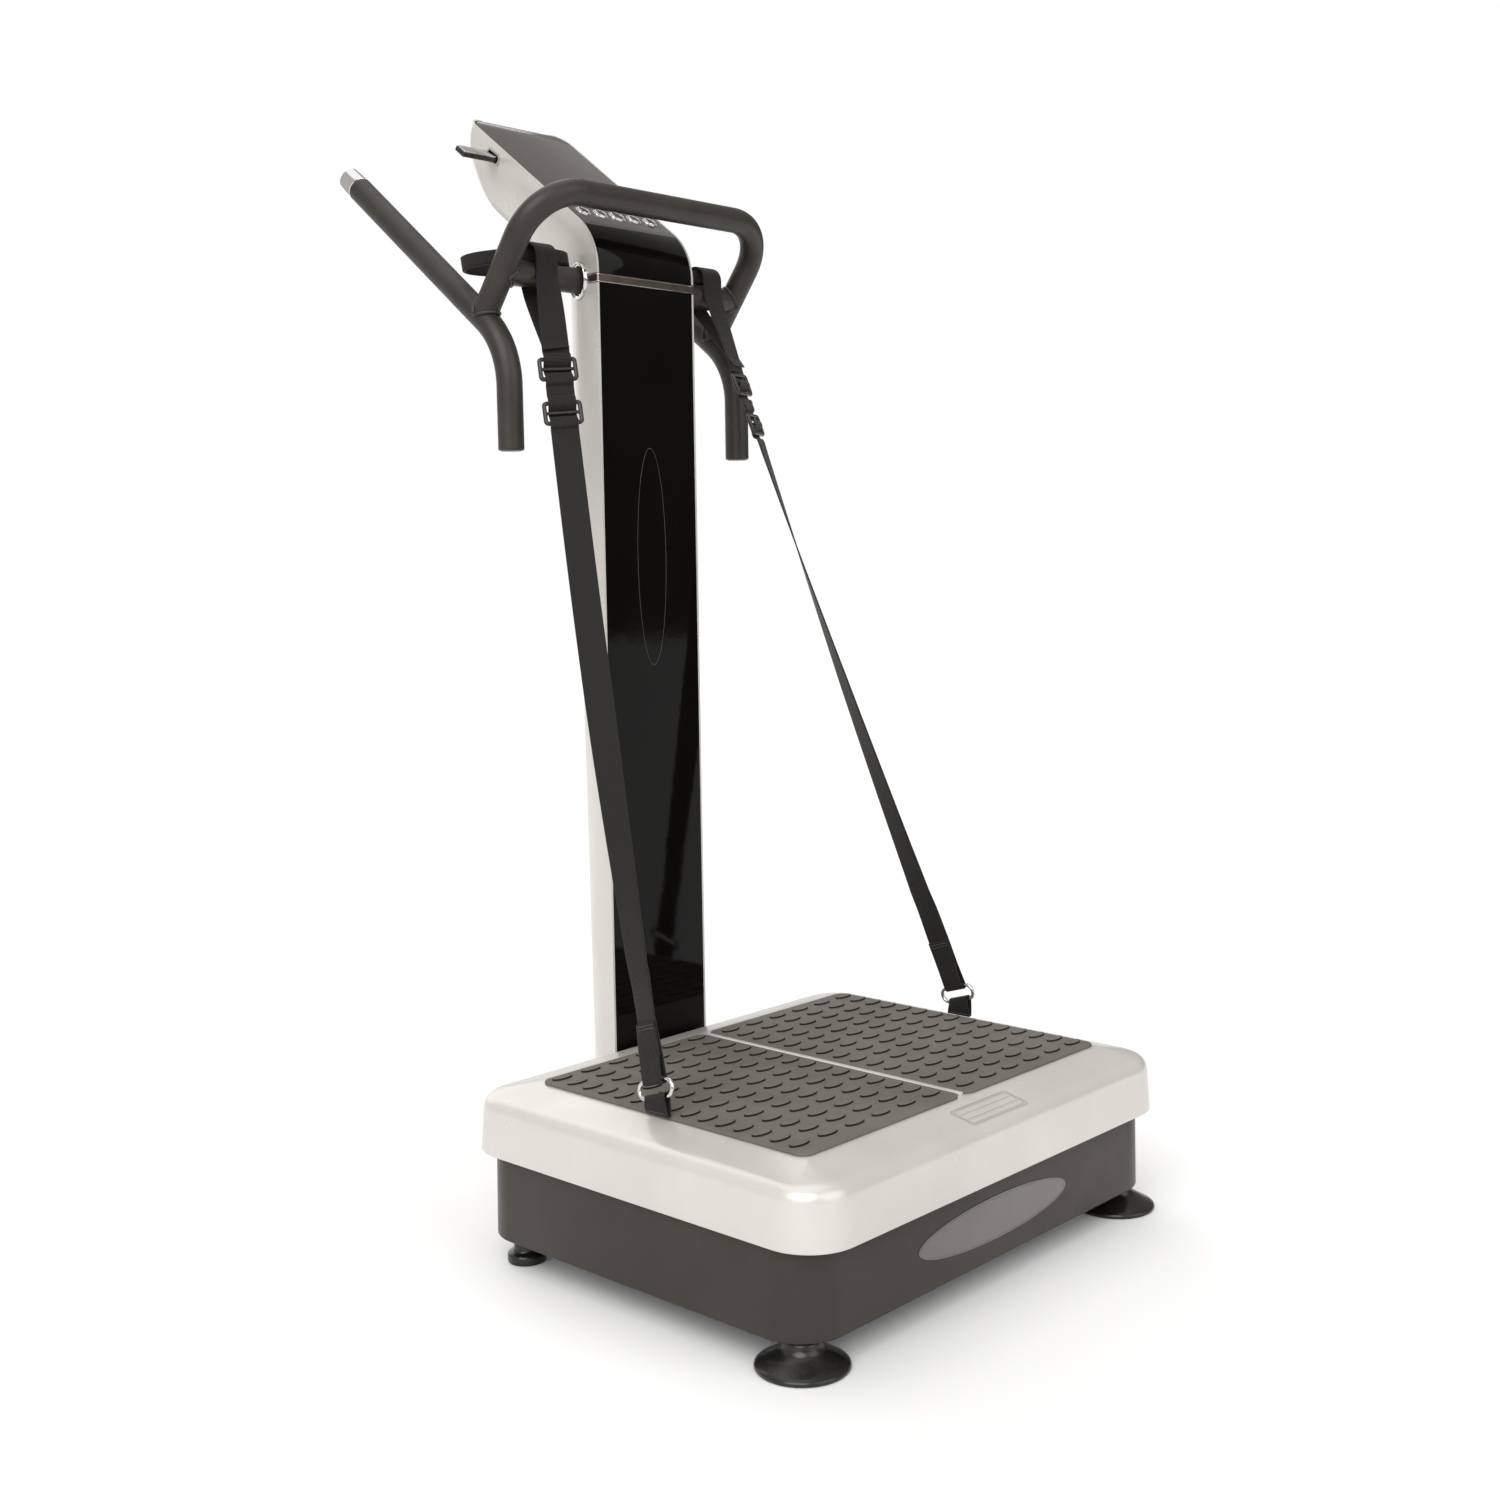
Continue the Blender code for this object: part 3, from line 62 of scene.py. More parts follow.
# Column, console and handlebar lines
COLUMN_HALF_W, COLUMN_FRONT_Y = 0.0745, 0.0905
COLUMN_BOTTOM_Z, CROSS_Y, CROSS_Z = 0.0465, 0.1273, 1.034
COLUMN_BOTTOM_DEPTH, COLUMN_TOP_DEPTH = 0.08, 0.096
WALL, GAP, TRIM_HALF_H = 0.0025, 0.0003, 0.005
COLLAR_X, COLLAR_R, COLLAR_TURN = 0.069, 0.0205, math.radians(18)
BEND_R, BEND_START_Z, SLOPE = 0.0713, 1.043, math.radians(36.45)
CONSOLE_STRAIGHT, CONSOLE_DEPTH, TIP_DEPTH = 0.2325, 0.09, 0.018
CONSOLE_TAPER, TIP_R, SEAM_S = 0.06, 0.02, 0.01
BUTTON_UP, BUTTON_PITCH, USB_UP, STICK_X = 0.0205, 0.0257, 0.1645, -0.098
TUBE_R, HANDLE_X = 0.014, 0.177
BAR_LOW, BAR_BEND = Vector((0, 0.1209, 0.8456)), Vector((0, 0.1209, 0.9579))
BAR_HIGH = Vector((0, 0.3935, 1.1677))
LEG_JOINT, GRIP_CORNER = Vector((0, 0.1605, 0.9901)), Vector((0, 0.0666, 1.1142))
BAR_BEND_R, GRIP_BEND_R, CAP_LENGTH = 0.09, 0.06, 0.024

# Straps
WEB_W, WEB_T = 0.03, 0.0016
TUBE_REACH = TUBE_R + 0.0006 + WEB_T / 2
TOP_X = {"left": 0.128, "right": 0.129}
RING = Vector((0.2485, -0.154, 0.2145))
RING_BEND_R, RING_HALF_STRAIGHT, RING_WIRE_R = 0.0085, 0.0145, 0.0021
RING_REACH = RING_WIRE_R + 0.0008 + WEB_T / 2
BUCKLE_Z = (0.93, 0.883)
BUCKLE_WEAVE = 0.003
SEAM_UP = 0.053
STITCH_PITCH, STITCH_LENGTH = 0.0028, 0.0022
LOOP_HALF_W, LOOP_HALF_D, LOOP_H, LOOP_T, LOOP_END_X = 0.059, 0.023, 0.015, 0.0036, 0.048
LOOP_TILT, LOOP_TURN = math.radians(12), math.radians(22)
SIDES = (("left", -1), ("right", 1))

# Light and camera
SUN_ANGLE = 0.9
EYE, LENS = Vector((-1.4462, -1.3885, 0.7334)), 43.387


# ---- materials

def set_inputs(made, inputs):
    """Sets unlinked inputs by name, with underscores for spaces."""
    for key, value in inputs.items():
        made.inputs[key.replace("_", " ")].default_value = value


def node(tree, kind, **inputs):
    """A shader node with its unlinked inputs set."""
    made = tree.nodes.new(kind)
    set_inputs(made, inputs)
    return made


def noise(tree, where, scale, detail):
    """Noise texture on a coordinate socket."""
    made = node(tree, "ShaderNodeTexNoise", Scale=scale, Detail=detail)
    tree.links.new(where, made.inputs["Vector"])
    return made.outputs["Fac"]


def spread(tree, fac, low, high):
    """Maps a texture's middle range to two values."""
    made = node(tree, "ShaderNodeMapRange", From_Min=0.3, From_Max=0.7, To_Min=low, To_Max=high)
    tree.links.new(fac, made.inputs["Value"])
    return made.outputs["Result"]


def blend_color(tree, fac, first, second):
    """Mixes two colours by a factor socket."""
    ramp = tree.nodes.new("ShaderNodeValToRGB")
    ramp.color_ramp.elements[0].position = 0.3
    ramp.color_ramp.elements[1].position = 0.7
    ramp.color_ramp.elements[0].color = (*first, 1)
    ramp.color_ramp.elements[1].color = (*second, 1)
    tree.links.new(fac, ramp.inputs["Fac"])
    return ramp.outputs["Color"]


def new_material(name):
    """A material with its node tree and its shader."""
    made = bpy.data.materials.new(name)
    made.use_nodes = True
    return made, made.node_tree, made.node_tree.nodes["Principled BSDF"]


def relief(tree, shader, height, strength, depth):
    """Bump from a texture socket."""
    bump = node(tree, "ShaderNodeBump", Strength=strength, Distance=depth)
    tree.links.new(height, bump.inputs["Height"])
    tree.links.new(bump.outputs["Normal"], shader.inputs["Normal"])


def finish(name, first, second, rough, grain, depth, patch=9.0, **inputs):
    """Mottled colour, uneven roughness and a fine bump. rough is (low, high), grain is cells per metre."""
    made, tree, shader = new_material(name)
    where = tree.nodes.new("ShaderNodeTexCoord").outputs["Object"]
    mottle = blend_color(tree, noise(tree, where, patch, 4.0), first, second)
    tree.links.new(mottle, shader.inputs["Base Color"])
    tree.links.new(spread(tree, noise(tree, where, patch * 3.1, 5.0), *rough), shader.inputs["Roughness"])
    relief(tree, shader, noise(tree, where, grain, 2.0), 1.0, depth)
    set_inputs(shader, inputs)
    return made


def webbing(name, first, second):
    """Woven band: warp cords along it and weft ribs across it, from the mesh's own weave attribute."""
    made, tree, shader = new_material(name)
    place = tree.nodes.new("ShaderNodeAttribute")
    place.attribute_name = "weave"
    both = tree.nodes.new("ShaderNodeMath")
    both.operation = "MULTIPLY"
    for index, (direction, scale) in enumerate((("X", 180.0), ("Y", 210.0))):
        wave = node(tree, "ShaderNodeTexWave", Scale=scale, Distortion=0.4, Detail=1.0)
        wave.bands_direction = direction
        tree.links.new(place.outputs["Vector"], wave.inputs["Vector"])
        tree.links.new(wave.outputs["Fac"], both.inputs[index])
    tree.links.new(blend_color(tree, both.outputs[0], first, second), shader.inputs["Base Color"])
    tree.links.new(spread(tree, both.outputs[0], 0.75, 0.5), shader.inputs["Roughness"])
    relief(tree, shader, both.outputs[0], 0.8, 0.0004)
    set_inputs(shader, {"Sheen Weight": 0.12, "Sheen Tint": (1.0, 0.88, 0.78, 1.0), "Sheen Roughness": 0.4,
                        "Specular IOR Level": 0.35})
    return made


def make_materials():
    """Every finish of the machine, by the record's slot names and some extra ones."""
    return {
        "silver": finish("pearl_silver", (0.56, 0.535, 0.495), (0.62, 0.595, 0.555), (0.27, 0.36), 2600,
            0.000008, Metallic=0.25, Coat_Weight=0.35, Coat_Roughness=0.15),
        "dark_shell": finish("warm_grey_shell", (0.027, 0.0215, 0.017), (0.037, 0.03, 0.024), (0.3, 0.42),
            1900, 0.00006, Specular_IOR_Level=0.3),
        "gloss_black": finish("gloss_black", (0.0025, 0.0022, 0.002), (0.004, 0.0035, 0.003), (0.04, 0.07),
            60, 0.00004, Specular_IOR_Level=0.12),
        "display": finish("smoked_display", (0.046, 0.0375, 0.0345), (0.056, 0.0465, 0.0425), (0.1, 0.16),
            900, 0.00001, Specular_IOR_Level=0.5),
        "tread": finish("tread_rubber", (0.122, 0.109, 0.095), (0.148, 0.134, 0.118), (0.72, 0.88), 1500,
            0.00014, patch=14.0, Specular_IOR_Level=0.3),
        "black_rubber": finish("black_rubber", (0.006, 0.0055, 0.005), (0.012, 0.011, 0.01), (0.18, 0.34),
            700, 0.00005, patch=40.0),
        "tube": finish("textured_powder_paint", (0.021, 0.0165, 0.0125), (0.029, 0.0235, 0.0185),
            (0.38, 0.5), 1300, 0.00003, patch=30.0, Specular_IOR_Level=0.4),
        "chrome": finish("chrome", (0.6, 0.59, 0.575), (0.68, 0.67, 0.655), (0.05, 0.12), 300, 0.00001,
            patch=60.0, Metallic=1.0),
        "trim": finish("bronzed_trim", (0.3, 0.235, 0.19), (0.37, 0.29, 0.235), (0.14, 0.24), 500, 0.00001,
            patch=30.0, Metallic=1.0),
        "steel": finish("ground_steel", (0.48, 0.47, 0.46), (0.58, 0.57, 0.55), (0.25, 0.42), 900, 0.00003,
            patch=50.0, Metallic=1.0),
        "frame_paint": finish("black_frame_paint", (0.03, 0.029, 0.028), (0.044, 0.042, 0.04), (0.38, 0.55),
            600, 0.0001, patch=25.0),
        "casting": finish("cast_metal", (0.24, 0.245, 0.25), (0.33, 0.335, 0.34), (0.42, 0.62), 450,
            0.00025, patch=35.0, Metallic=0.7),
        "webbing": webbing("black_webbing", (0.0035, 0.0031, 0.0028), (0.0125, 0.0112, 0.01)),
        "thread": finish("grey_thread", (0.1, 0.09, 0.08), (0.15, 0.14, 0.125), (0.6, 0.8), 3000, 0.0001,
            patch=200.0),
        "black_plastic": finish("black_plastic", (0.01, 0.009, 0.008), (0.018, 0.016, 0.015), (0.22, 0.36),
            1600, 0.00004, patch=60.0),
        "board": finish("solder_mask", (0.008, 0.055, 0.022), (0.014, 0.085, 0.034), (0.3, 0.42), 400,
            0.00006, patch=45.0),
        "badge": finish("badge_lacquer", (0.095, 0.086, 0.077), (0.115, 0.105, 0.094), (0.2, 0.3), 900,
            0.00002, Coat_Weight=0.5, Coat_Roughness=0.08),
        "ink": finish("grey_ink", (0.33, 0.31, 0.285), (0.38, 0.36, 0.33), (0.4, 0.5), 2000, 0.00002,
            patch=80.0),
        "emblem_line": finish("emblem_line", (0.055, 0.05, 0.046), (0.075, 0.069, 0.063), (0.2, 0.3), 2000,
            0.00001, patch=60.0),
        # Painted shade: the steep walls of the tread ovals are coloured much darker than the tread, standing
        # in for the shade that falls on them.
        "tread_wall_painted_shade": finish("tread_bump_wall_painted_shade", (0.012, 0.0108, 0.0095), (0.02, 0.018, 0.016), (0.8, 0.9),
            1500, 0.0001, patch=14.0, Specular_IOR_Level=0.15),
        "weld": finish("painted_weld", (0.017, 0.0145, 0.012), (0.026, 0.022, 0.0185), (0.38, 0.5), 700,
            0.0003, patch=60.0),
    }


MATS = make_materials()


# ---- mesh helpers

def as_object(name, bm, mat, sharp=35):
    """Turns a bmesh into a smooth object, with its faces pointing out."""
    bmesh.ops.recalc_face_normals(bm, faces=bm.faces)
    mesh = bpy.data.meshes.new(name)
    bm.to_mesh(mesh)
    bm.free()
    obj = bpy.data.objects.new(name, mesh)
    bpy.context.scene.collection.objects.link(obj)
    mesh.materials.append(MATS[mat])
    mesh.shade_smooth()
    mesh.set_sharp_from_angle(angle=math.radians(sharp))
    return obj


def place(obj, body, slot, *nodes):
    """The piece rides on a body and stands for its CAD nodes, which it hides; the slot is not used."""
    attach(obj, body)
    if nodes:
        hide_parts(*nodes)


def bake(obj):
    """Applies the object's modifiers."""
    bpy.context.view_layer.update()
    graph = bpy.context.evaluated_depsgraph_get()
    mesh = bpy.data.meshes.new_from_object(obj.evaluated_get(graph))
    old = obj.data
    obj.modifiers.clear()
    obj.data = mesh
    bpy.data.meshes.remove(old)
    mesh.shade_smooth()
    mesh.set_sharp_from_angle(angle=math.radians(35))
    return obj


def cut(obj, *cutters):
    """Takes other solids out of this one and removes them."""
    for cutter in cutters:
        modifier = obj.modifiers.new("cut", "BOOLEAN")
        modifier.operation = "DIFFERENCE"
        modifier.solver = "EXACT"
        modifier.object = cutter
    bake(obj)
    for cutter in cutters:
        bpy.data.objects.remove(cutter, do_unlink=True)
    return obj


def walled(obj, thickness):
    """Gives an open surface its wall, inward."""
    modifier = obj.modifiers.new("wall", "SOLIDIFY")
    modifier.thickness = thickness
    modifier.offset = -1.0
    modifier.use_even_offset = True
    return bake(obj)


def loft_into(bm, rings, around=True, ends=True, along=False):
    """Faces through rows of points; each row is closed, and so is the whole if along is set."""
    rows = [[bm.verts.new(point) for point in ring] for ring in rings]
    pairs = list(zip(rows, rows[1:])) + ([(rows[-1], rows[0])] if along else [])
    count = len(rows[0])
    for low, high in pairs:
        for i in range(count if around else count - 1):
            bm.faces.new((low[i], low[(i + 1) % count], high[(i + 1) % count], high[i]))
    if ends and not along:
        bm.faces.new(rows[0][::-1])
        bm.faces.new(rows[-1])
    return rows


def loft(name, rings, mat, sharp=35, **options):
    """A lofted object."""
    bm = bmesh.new()
    loft_into(bm, rings, **options)
    return as_object(name, bm, mat, sharp)


def rounded_outline(half_w, front, back, radius, count=14, centre_x=0.0):
    """Counter-clockwise outline of a rectangle with round corners."""
    points = []
    for sx, sy, start in ((1, 1, 0), (-1, 1, 90), (-1, -1, 180), (1, -1, 270)):
        cx = centre_x + sx * (half_w - radius)
        cy = (back - radius) if sy > 0 else (front + radius)
        for i in range(count + 1):
            angle = math.radians(start + 90 * i / count)
            points.append((cx + radius * math.cos(angle), cy + radius * math.sin(angle)))
    return points


def raised(outline, z, matrix=Matrix()):
    """A flat outline lifted to a height and placed by a matrix."""
    return [matrix @ Vector((x, y, z)) for x, y in outline]


def full_turn(count):
    """Evenly spaced angles round a whole turn."""
    return [2 * math.pi * i / count for i in range(count)]


def ring_points(centre, first, second, radius, sides):
    """Circle in the plane of two unit vectors."""
    return [centre + (first * math.cos(a) + second * math.sin(a)) * radius for a in full_turn(sides)]


def pipe_into(bm, points, radii, sides, closed=False):
    """Round tube along points, with a frame carried from point to point."""
    points = [Vector(p) for p in points]
    count = len(points)
    tangents = []
    for i in range(count):
        before = points[i - 1] if closed or i else points[0]
        after = points[(i + 1) % count] if closed or i < count - 1 else points[-1]
        tangents.append((after - before).normalized())
    side = tangents[0].orthogonal().normalized()
    rings = []
    for i, (point, tangent) in enumerate(zip(points, tangents)):
        side = (side - tangent * side.dot(tangent)).normalized()
        radius = radii[i] if isinstance(radii, (list, tuple)) else radii
        rings.append(ring_points(point, side, tangent.cross(side), radius, sides))
    loft_into(bm, rings, along=closed)


def pipe(name, points, radii, mat, sides=40, closed=False, sharp=35):
    """A round tube object."""
    bm = bmesh.new()
    pipe_into(bm, points, radii, sides, closed)
    return as_object(name, bm, mat, sharp)


def soft_end_pipe(name, points):
    """A handlebar tube whose two ends have a small rounded edge."""
    first, last = (points[1] - points[0]).normalized(), (points[-2] - points[-1]).normalized()
    steps = (0.0, 0.0003, 0.0008, 0.0016, 0.003, 0.02)
    ends = [TUBE_R - drop for drop in (0.0014, 0.0007, 0.0002, 0.0, 0.0, 0.0)]
    line = [points[0] + first * s for s in steps] + points[1:-1]
    line += [points[-1] + last * s for s in steps[::-1]]
    return pipe(name, line, ends + [TUBE_R] * (len(points) - 2) + ends[::-1], "tube")


def turned(name, profile, mat, matrix, steps=64):
    """Solid of revolution about its own Z, from (radius, z) points, placed by a matrix."""
    bm = bmesh.new()
    circle = [(math.cos(a), math.sin(a)) for a in full_turn(steps)]
    rings = [[matrix @ Vector((r * x, r * y, z)) for x, y in circle] for r, z in profile]
    loft_into(bm, rings, ends=False)
    bmesh.ops.remove_doubles(bm, verts=bm.verts, dist=0.00001)
    return as_object(name, bm, mat)


def facing(centre, out):
    """Matrix whose Z is a direction, at a point."""
    return Matrix.Translation(centre) @ Vector(out).to_track_quat("Z", "Y").to_matrix().to_4x4()


def rod_cutter(radius, start, end):
    """Plain round cutter between two points."""
    return pipe("cutter", [start, end], radius, "steel", 48)


def block(name, size, matrix, mat, width):
    """A block with rounded edges, placed by a matrix."""
    bm = bmesh.new()
    bmesh.ops.create_cube(bm, size=1.0)
    bmesh.ops.scale(bm, vec=size, verts=bm.verts)
    if width:
        bmesh.ops.bevel(bm, geom=bm.edges[:], offset=width, segments=3, profile=0.5, affect="EDGES")
    bmesh.ops.transform(bm, matrix=matrix, verts=bm.verts)
    return as_object(name, bm, mat)


def rounded_corners(corners, radius, count=28):
    """Rounds the inner corners of a 3D path with arcs."""
    points = [corners[0]]
    for before, corner, after in zip(corners, corners[1:], corners[2:]):
        back = (before - corner).normalized()
        ahead = (after - corner).normalized()
        half = back.angle(ahead) / 2
        centre = corner + (back + ahead).normalized() * (radius / math.sin(half))
        start = corner + back * (radius / math.tan(half)) - centre
        end = corner + ahead * (radius / math.tan(half)) - centre
        axis = start.cross(end).normalized()
        sweep = start.angle(end)
        for i in range(count + 1):
            points.append(centre + Matrix.Rotation(sweep * i / count, 3, axis) @ start)
    points.append(corners[-1])
    return points


def spaced(start, end, count):
    """Evenly spaced values, ends included."""
    return [start + (end - start) * i / (count - 1) for i in range(count)]


# ---- platform and base

def shell_rings(half_w, front, back, radius, profile, count=14, centre_x=0.0, least=0.0):
    """Outlines drawn in by an inset and raised to a height, for each (inset, z)."""
    rings = []
    for inset, z in profile:
        corner = max(radius - inset, least)
        outline = rounded_outline(half_w - inset, front + inset, back - inset, corner, count, centre_x)
        rings.append(raised(outline, z))
    return rings


def bezier(first, middle, last, count):
    """Points along a quadratic curve."""
    return [Vector(first).lerp(middle, t).lerp(Vector(middle).lerp(last, t), t)
            for t in (i / count for i in range(count + 1))]


def make_cover():
    """Silver cover: rolled skirt edge, drafted side, round shoulder, rim rising to the deck."""
    slope = RIM_SLOPE.normalized()
    corner = Vector((0.004, 0.1745))
    shoulder = bezier(corner - Vector((0.0009, 0.013)), corner, corner + slope * 0.014, 12)
    profile = [(0.0006, 0.118), (0.0001, 0.1184), (0.0, 0.119), (0.0018, 0.144)]
    profile += [tuple(point) for point in shoulder]
    profile += [(0.03, 0.1802), (0.05, 0.18467), (0.054, 0.18555), (0.0575, 0.186)]
    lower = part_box("platform_cover")[0]
    rings = shell_rings(-lower[0], lower[1], 0.086, 0.052, profile, least=0.003)
    obj = loft("cover", rings, "silver", ends=False)
    bm = bmesh.new()
    bm.from_mesh(obj.data)
    rim = [edge for edge in bm.edges if edge.is_boundary and all(v.co.z > 0.18 for v in edge.verts)]
    bmesh.ops.contextual_create(bm, geom=rim)
    bmesh.ops.recalc_face_normals(bm, faces=bm.faces)
    bm.to_mesh(obj.data)
    bm.free()
    place(walled(obj, 0.003), "platform", "silver", "platform_cover")


def make_mat(side, sign, row_start):
    """Tread mat with a soft edge and rows of raised ovals, whose steep walls carry painted shade."""
    bm = bmesh.new()
    profile = [(0.0, 0.1863), (0.0, 0.188), (0.0002, 0.1885), (0.0006, 0.1889), (0.0012, MAT_TOP_Z)]
    loft_into(bm, shell_rings(MAT_HALF_W, MAT_FRONT_Y, MAT_BACK_Y, 0.012, profile, 8, sign * MAT_X))
    first = sign * 0.0255 + 0.0015
    for column in range(6):
        for row in range(15):
            oval_bump(bm, first + sign * BUMP_PITCH_X * column, row_start - BUMP_PITCH_Y * row)
    obj = as_object("tread_mat_" + side, bm, "tread")
    # Painted shade: the steep walls of the ovals take the darker material, standing in for the shade on them.
    obj.data.materials.append(MATS["tread_wall_painted_shade"])
    for face in obj.data.polygons:
        face.material_index = int(face.center.z > 0.1889 and abs(face.normal.z) < 0.75)
    place(obj, "platform", "tread", "mat_" + side)


def make_deck_rib():
    """Silver rib of the deck between the two mats, just proud of their tops."""
    profile = ((0.0, 0.1858), (0.0, 0.1886), (0.0003, 0.189), (0.0009, 0.18915))
    rings = shell_rings(0.0037, -0.34, 0.0185, 0.0024, profile, 5)
    place(loft("deck_rib", rings, "silver"), "platform", "silver")


def oval_bump(bm, x, y):
    """Raised oval with a steep edge and a lightly crowned top."""
    rings = []
    for share, height in ((1.0, -0.0003), (0.985, 0.0015), (0.95, 0.0019), (0.86, 0.0021), (0.5, 0.0022)):
        half_w, half_d = BUMP_HALF_W * share, BUMP_HALF_D * share
        outline = [(x + half_w * math.cos(a), y + half_d * math.sin(a)) for a in full_turn(28)]
        rings.append(raised(outline, MAT_TOP_Z + height))
    loft_into(bm, rings)


def make_base_shell():
    """Dark shell with a rolled bottom edge, an inward flange and the rear openings."""
    profile = [(0.015, 0.03), (0.003, 0.03), (0.0009, 0.0303), (0.0002, 0.031), (0.0, 0.0325),
               (0.0008, 0.08), (0.0016, 0.1265), (0.0018, 0.1276), (0.0022, 0.128), (0.0036, 0.128),
               (0.0042, 0.1274), (0.0036, 0.08), (0.003, 0.0345), (0.0038, 0.0326), (0.015, 0.0324)]
    obj = loft("base_wall", shell_rings(0.2965, -0.387, 0.068, 0.05, profile), "dark_shell", along=True)
    openings = [((0.116, 0.06, 0.034), (0, 0.068, 0.0355)),
                ((0.0286, 0.03, 0.0206), (INLET_X, 0.068, INLET_Z)),
                ((0.0196, 0.03, 0.0286), (SWITCH_X, 0.068, INLET_Z))]
    cut(obj, *[block("cutter", size, Matrix.Translation(centre), "steel", 0) for size, centre in openings])
    place(obj, "base", "dark_shell", "base_shell")


def oval_plate(name, half_w, half_h, thickness, matrix, mat, hole=0.0):
    """Thin oval with a rounded edge, or an oval line if hole is its width. It rises along Z."""
    def ring(inset, z):
        outline = [((half_w - inset) * math.cos(a), (half_h - inset) * math.sin(a)) for a in full_turn(96)]
        return raised(outline, z, matrix)

    edge = thickness * 0.4
    outer = [ring(0, -0.0004), ring(0, thickness - edge), ring(edge, thickness)]
    if hole:
        rings = outer + [ring(hole - edge, thickness), ring(hole, thickness - edge), ring(hole, -0.0004)]
        return loft(name, rings, mat, along=True)
    return loft(name, outer, mat)


def make_marks():
    """Blank oval badge on the base, oval line on the column and an outlined blank label on the rim."""
    lean = math.atan2(0.0017, 0.098)
    base = Matrix.Translation((-0.0075, -0.3863, 0.073)) @ Matrix.Rotation(math.pi / 2 - lean, 4, "X")
    column = Matrix.Translation((0, COLUMN_FRONT_Y, 0.73)) @ Matrix.Rotation(math.pi / 2, 4, "X")
    ovals = (("base_badge", 0.126, 0.022, 0.0007, base, "badge", 0.0, "dark_shell"),
             ("base_badge_line", 0.1235, 0.0203, 0.0009, base, "emblem_line", 0.0007, "dark_shell"),
             ("column_oval", 0.0225, 0.1225, 0.00015, column, "emblem_line", 0.0006, "gloss_black"))
    for name, half_w, half_h, thickness, at, mat, line, slot in ovals:
        place(oval_plate(name, half_w, half_h, thickness, at, mat, line), "base", slot)
    slope = math.atan2(RIM_SLOPE.y, RIM_SLOPE.x)
    rim = Matrix.Translation((0.0, -0.3735, 0.1808)) @ Matrix.Rotation(slope, 4, "X")
    bm = bmesh.new()
    for half_w, half_h, width in ((0.047, 0.0155, 0.0005), (0.0445, 0.013, 0.0003)):
        outer = rounded_outline(half_w, -half_h, half_h, 0.0035, 6)
        inner = rounded_outline(half_w - width, -half_h + width, half_h - width, 0.0035 - width, 6)
        steps = ((outer, -0.0002), (outer, 0.0001), (inner, 0.0001), (inner, -0.0002))
        loft_into(bm, [raised(outline, z, rim) for outline, z in steps], along=True)
    for y in (0.0048, -0.0048):
        rings = [[rim @ Vector((x, y + dy, z)) for dy, z in ((-0.00015, -0.0002), (0.00015, -0.0002),
                                                            (0.00015, 0.0001), (-0.00015, 0.0001))]
                 for x in (-0.0415, 0.0415)]
        loft_into(bm, rings)
    place(as_object("rim_label", bm, "ink"), "platform", "silver")


def make_feet():
    """Suction cups in front and small pads behind, each with a threaded stem."""
    cup = [(0, 0.0275), (0.015, 0.0285), (0.0168, 0.0284), (0.0178, 0.0278), (0.0185, 0.0266), (0.019, 0.024),
           (0.0196, 0.0215), (0.0208, 0.0192), (0.0228, 0.0171), (0.0258, 0.015), (0.03, 0.0124),
           (0.035, 0.0096), (0.04, 0.0069), (0.043, 0.0052), (0.0442, 0.004), (0.0445, 0.003),
           (0.0444, 0.0014), (0.0436, 0.0003), (0.042, 0.0), (0, 0.0)]
    pad = [(0, 0.022), (0.012, 0.022), (0.0128, 0.0216), (0.013, 0.0208), (0.0132, 0.015), (0.0136, 0.013),
           (0.0148, 0.0116), (0.018, 0.0106), (0.0194, 0.0096), (0.02, 0.008), (0.02, 0.0022),
           (0.0196, 0.0008), (0.0184, 0.0), (0, 0.0)]
    corners = [(end, side, sign, y, profile) for end, y, profile in
               (("front", FOOT_FRONT_Y, cup), ("rear", FOOT_REAR_Y, pad)) for side, sign in SIDES]
    for end, side, sign, y, profile in corners:
        name = "foot_%s_%s" % (end, side)
        at = Matrix.Translation((sign * FOOT_X, y, 0))
        top = profile[1][1]
        place(turned(name + "_rubber", profile, "black_rubber", at), name + "_body", "black_rubber", name)
        stem = [(0, top - 0.0015)]
        z = top - 0.0015
        while z < STEM_TOP_Z - THREAD_PITCH:
            stem += [(0.0044, z), (0.005, z + 0.0005)]
            z += THREAD_PITCH
        stem += [(0.0044, STEM_TOP_Z - 0.0004), (0.0038, STEM_TOP_Z), (0, STEM_TOP_Z)]
        place(turned(name + "_stem", stem, "steel", at, 32), name + "_body", "steel")


# ---- column and console

def half_section(front, back, half_w):
    """Half ellipse from the left front edge round the back to the right front edge."""
    front = Vector(front)
    depth = Vector(back) - front
    turn = spaced(0.0, math.pi, 49)
    return [front + Vector((-half_w * math.cos(a), 0, 0)) + depth * math.sin(a) for a in turn]


def skin(name, sections, mat):
    """Open shell through half sections, thickened inward."""
    obj = loft(name, sections, mat, around=False, ends=False)
    bm = bmesh.new()
    bm.from_mesh(obj.data)
    bm.faces.ensure_lookup_table()
    middle = bm.faces[len(bm.faces) // 2]
    if middle.normal.y < 0:
        bmesh.ops.reverse_faces(bm, faces=bm.faces)
    bm.to_mesh(obj.data)
    bm.free()
    return walled(obj, WALL)


def collar_place(sign):
    """Centre of a collar on the column's side, and the direction it faces."""
    turn = COLLAR_TURN if sign > 0 else math.pi - COLLAR_TURN
    return Vector((sign * COLLAR_X, CROSS_Y, CROSS_Z)), Vector((math.cos(turn), math.sin(turn), 0))


def cut_collar_seats(obj):
    """Round openings in which the two collars sit."""
    cutters = []
    for sign in (-1, 1):
        centre, out = collar_place(sign)
        cutters.append(rod_cutter(COLLAR_R + 0.0004, centre - out * 0.012, centre + out * 0.02))
    return cut(obj, *cutters)


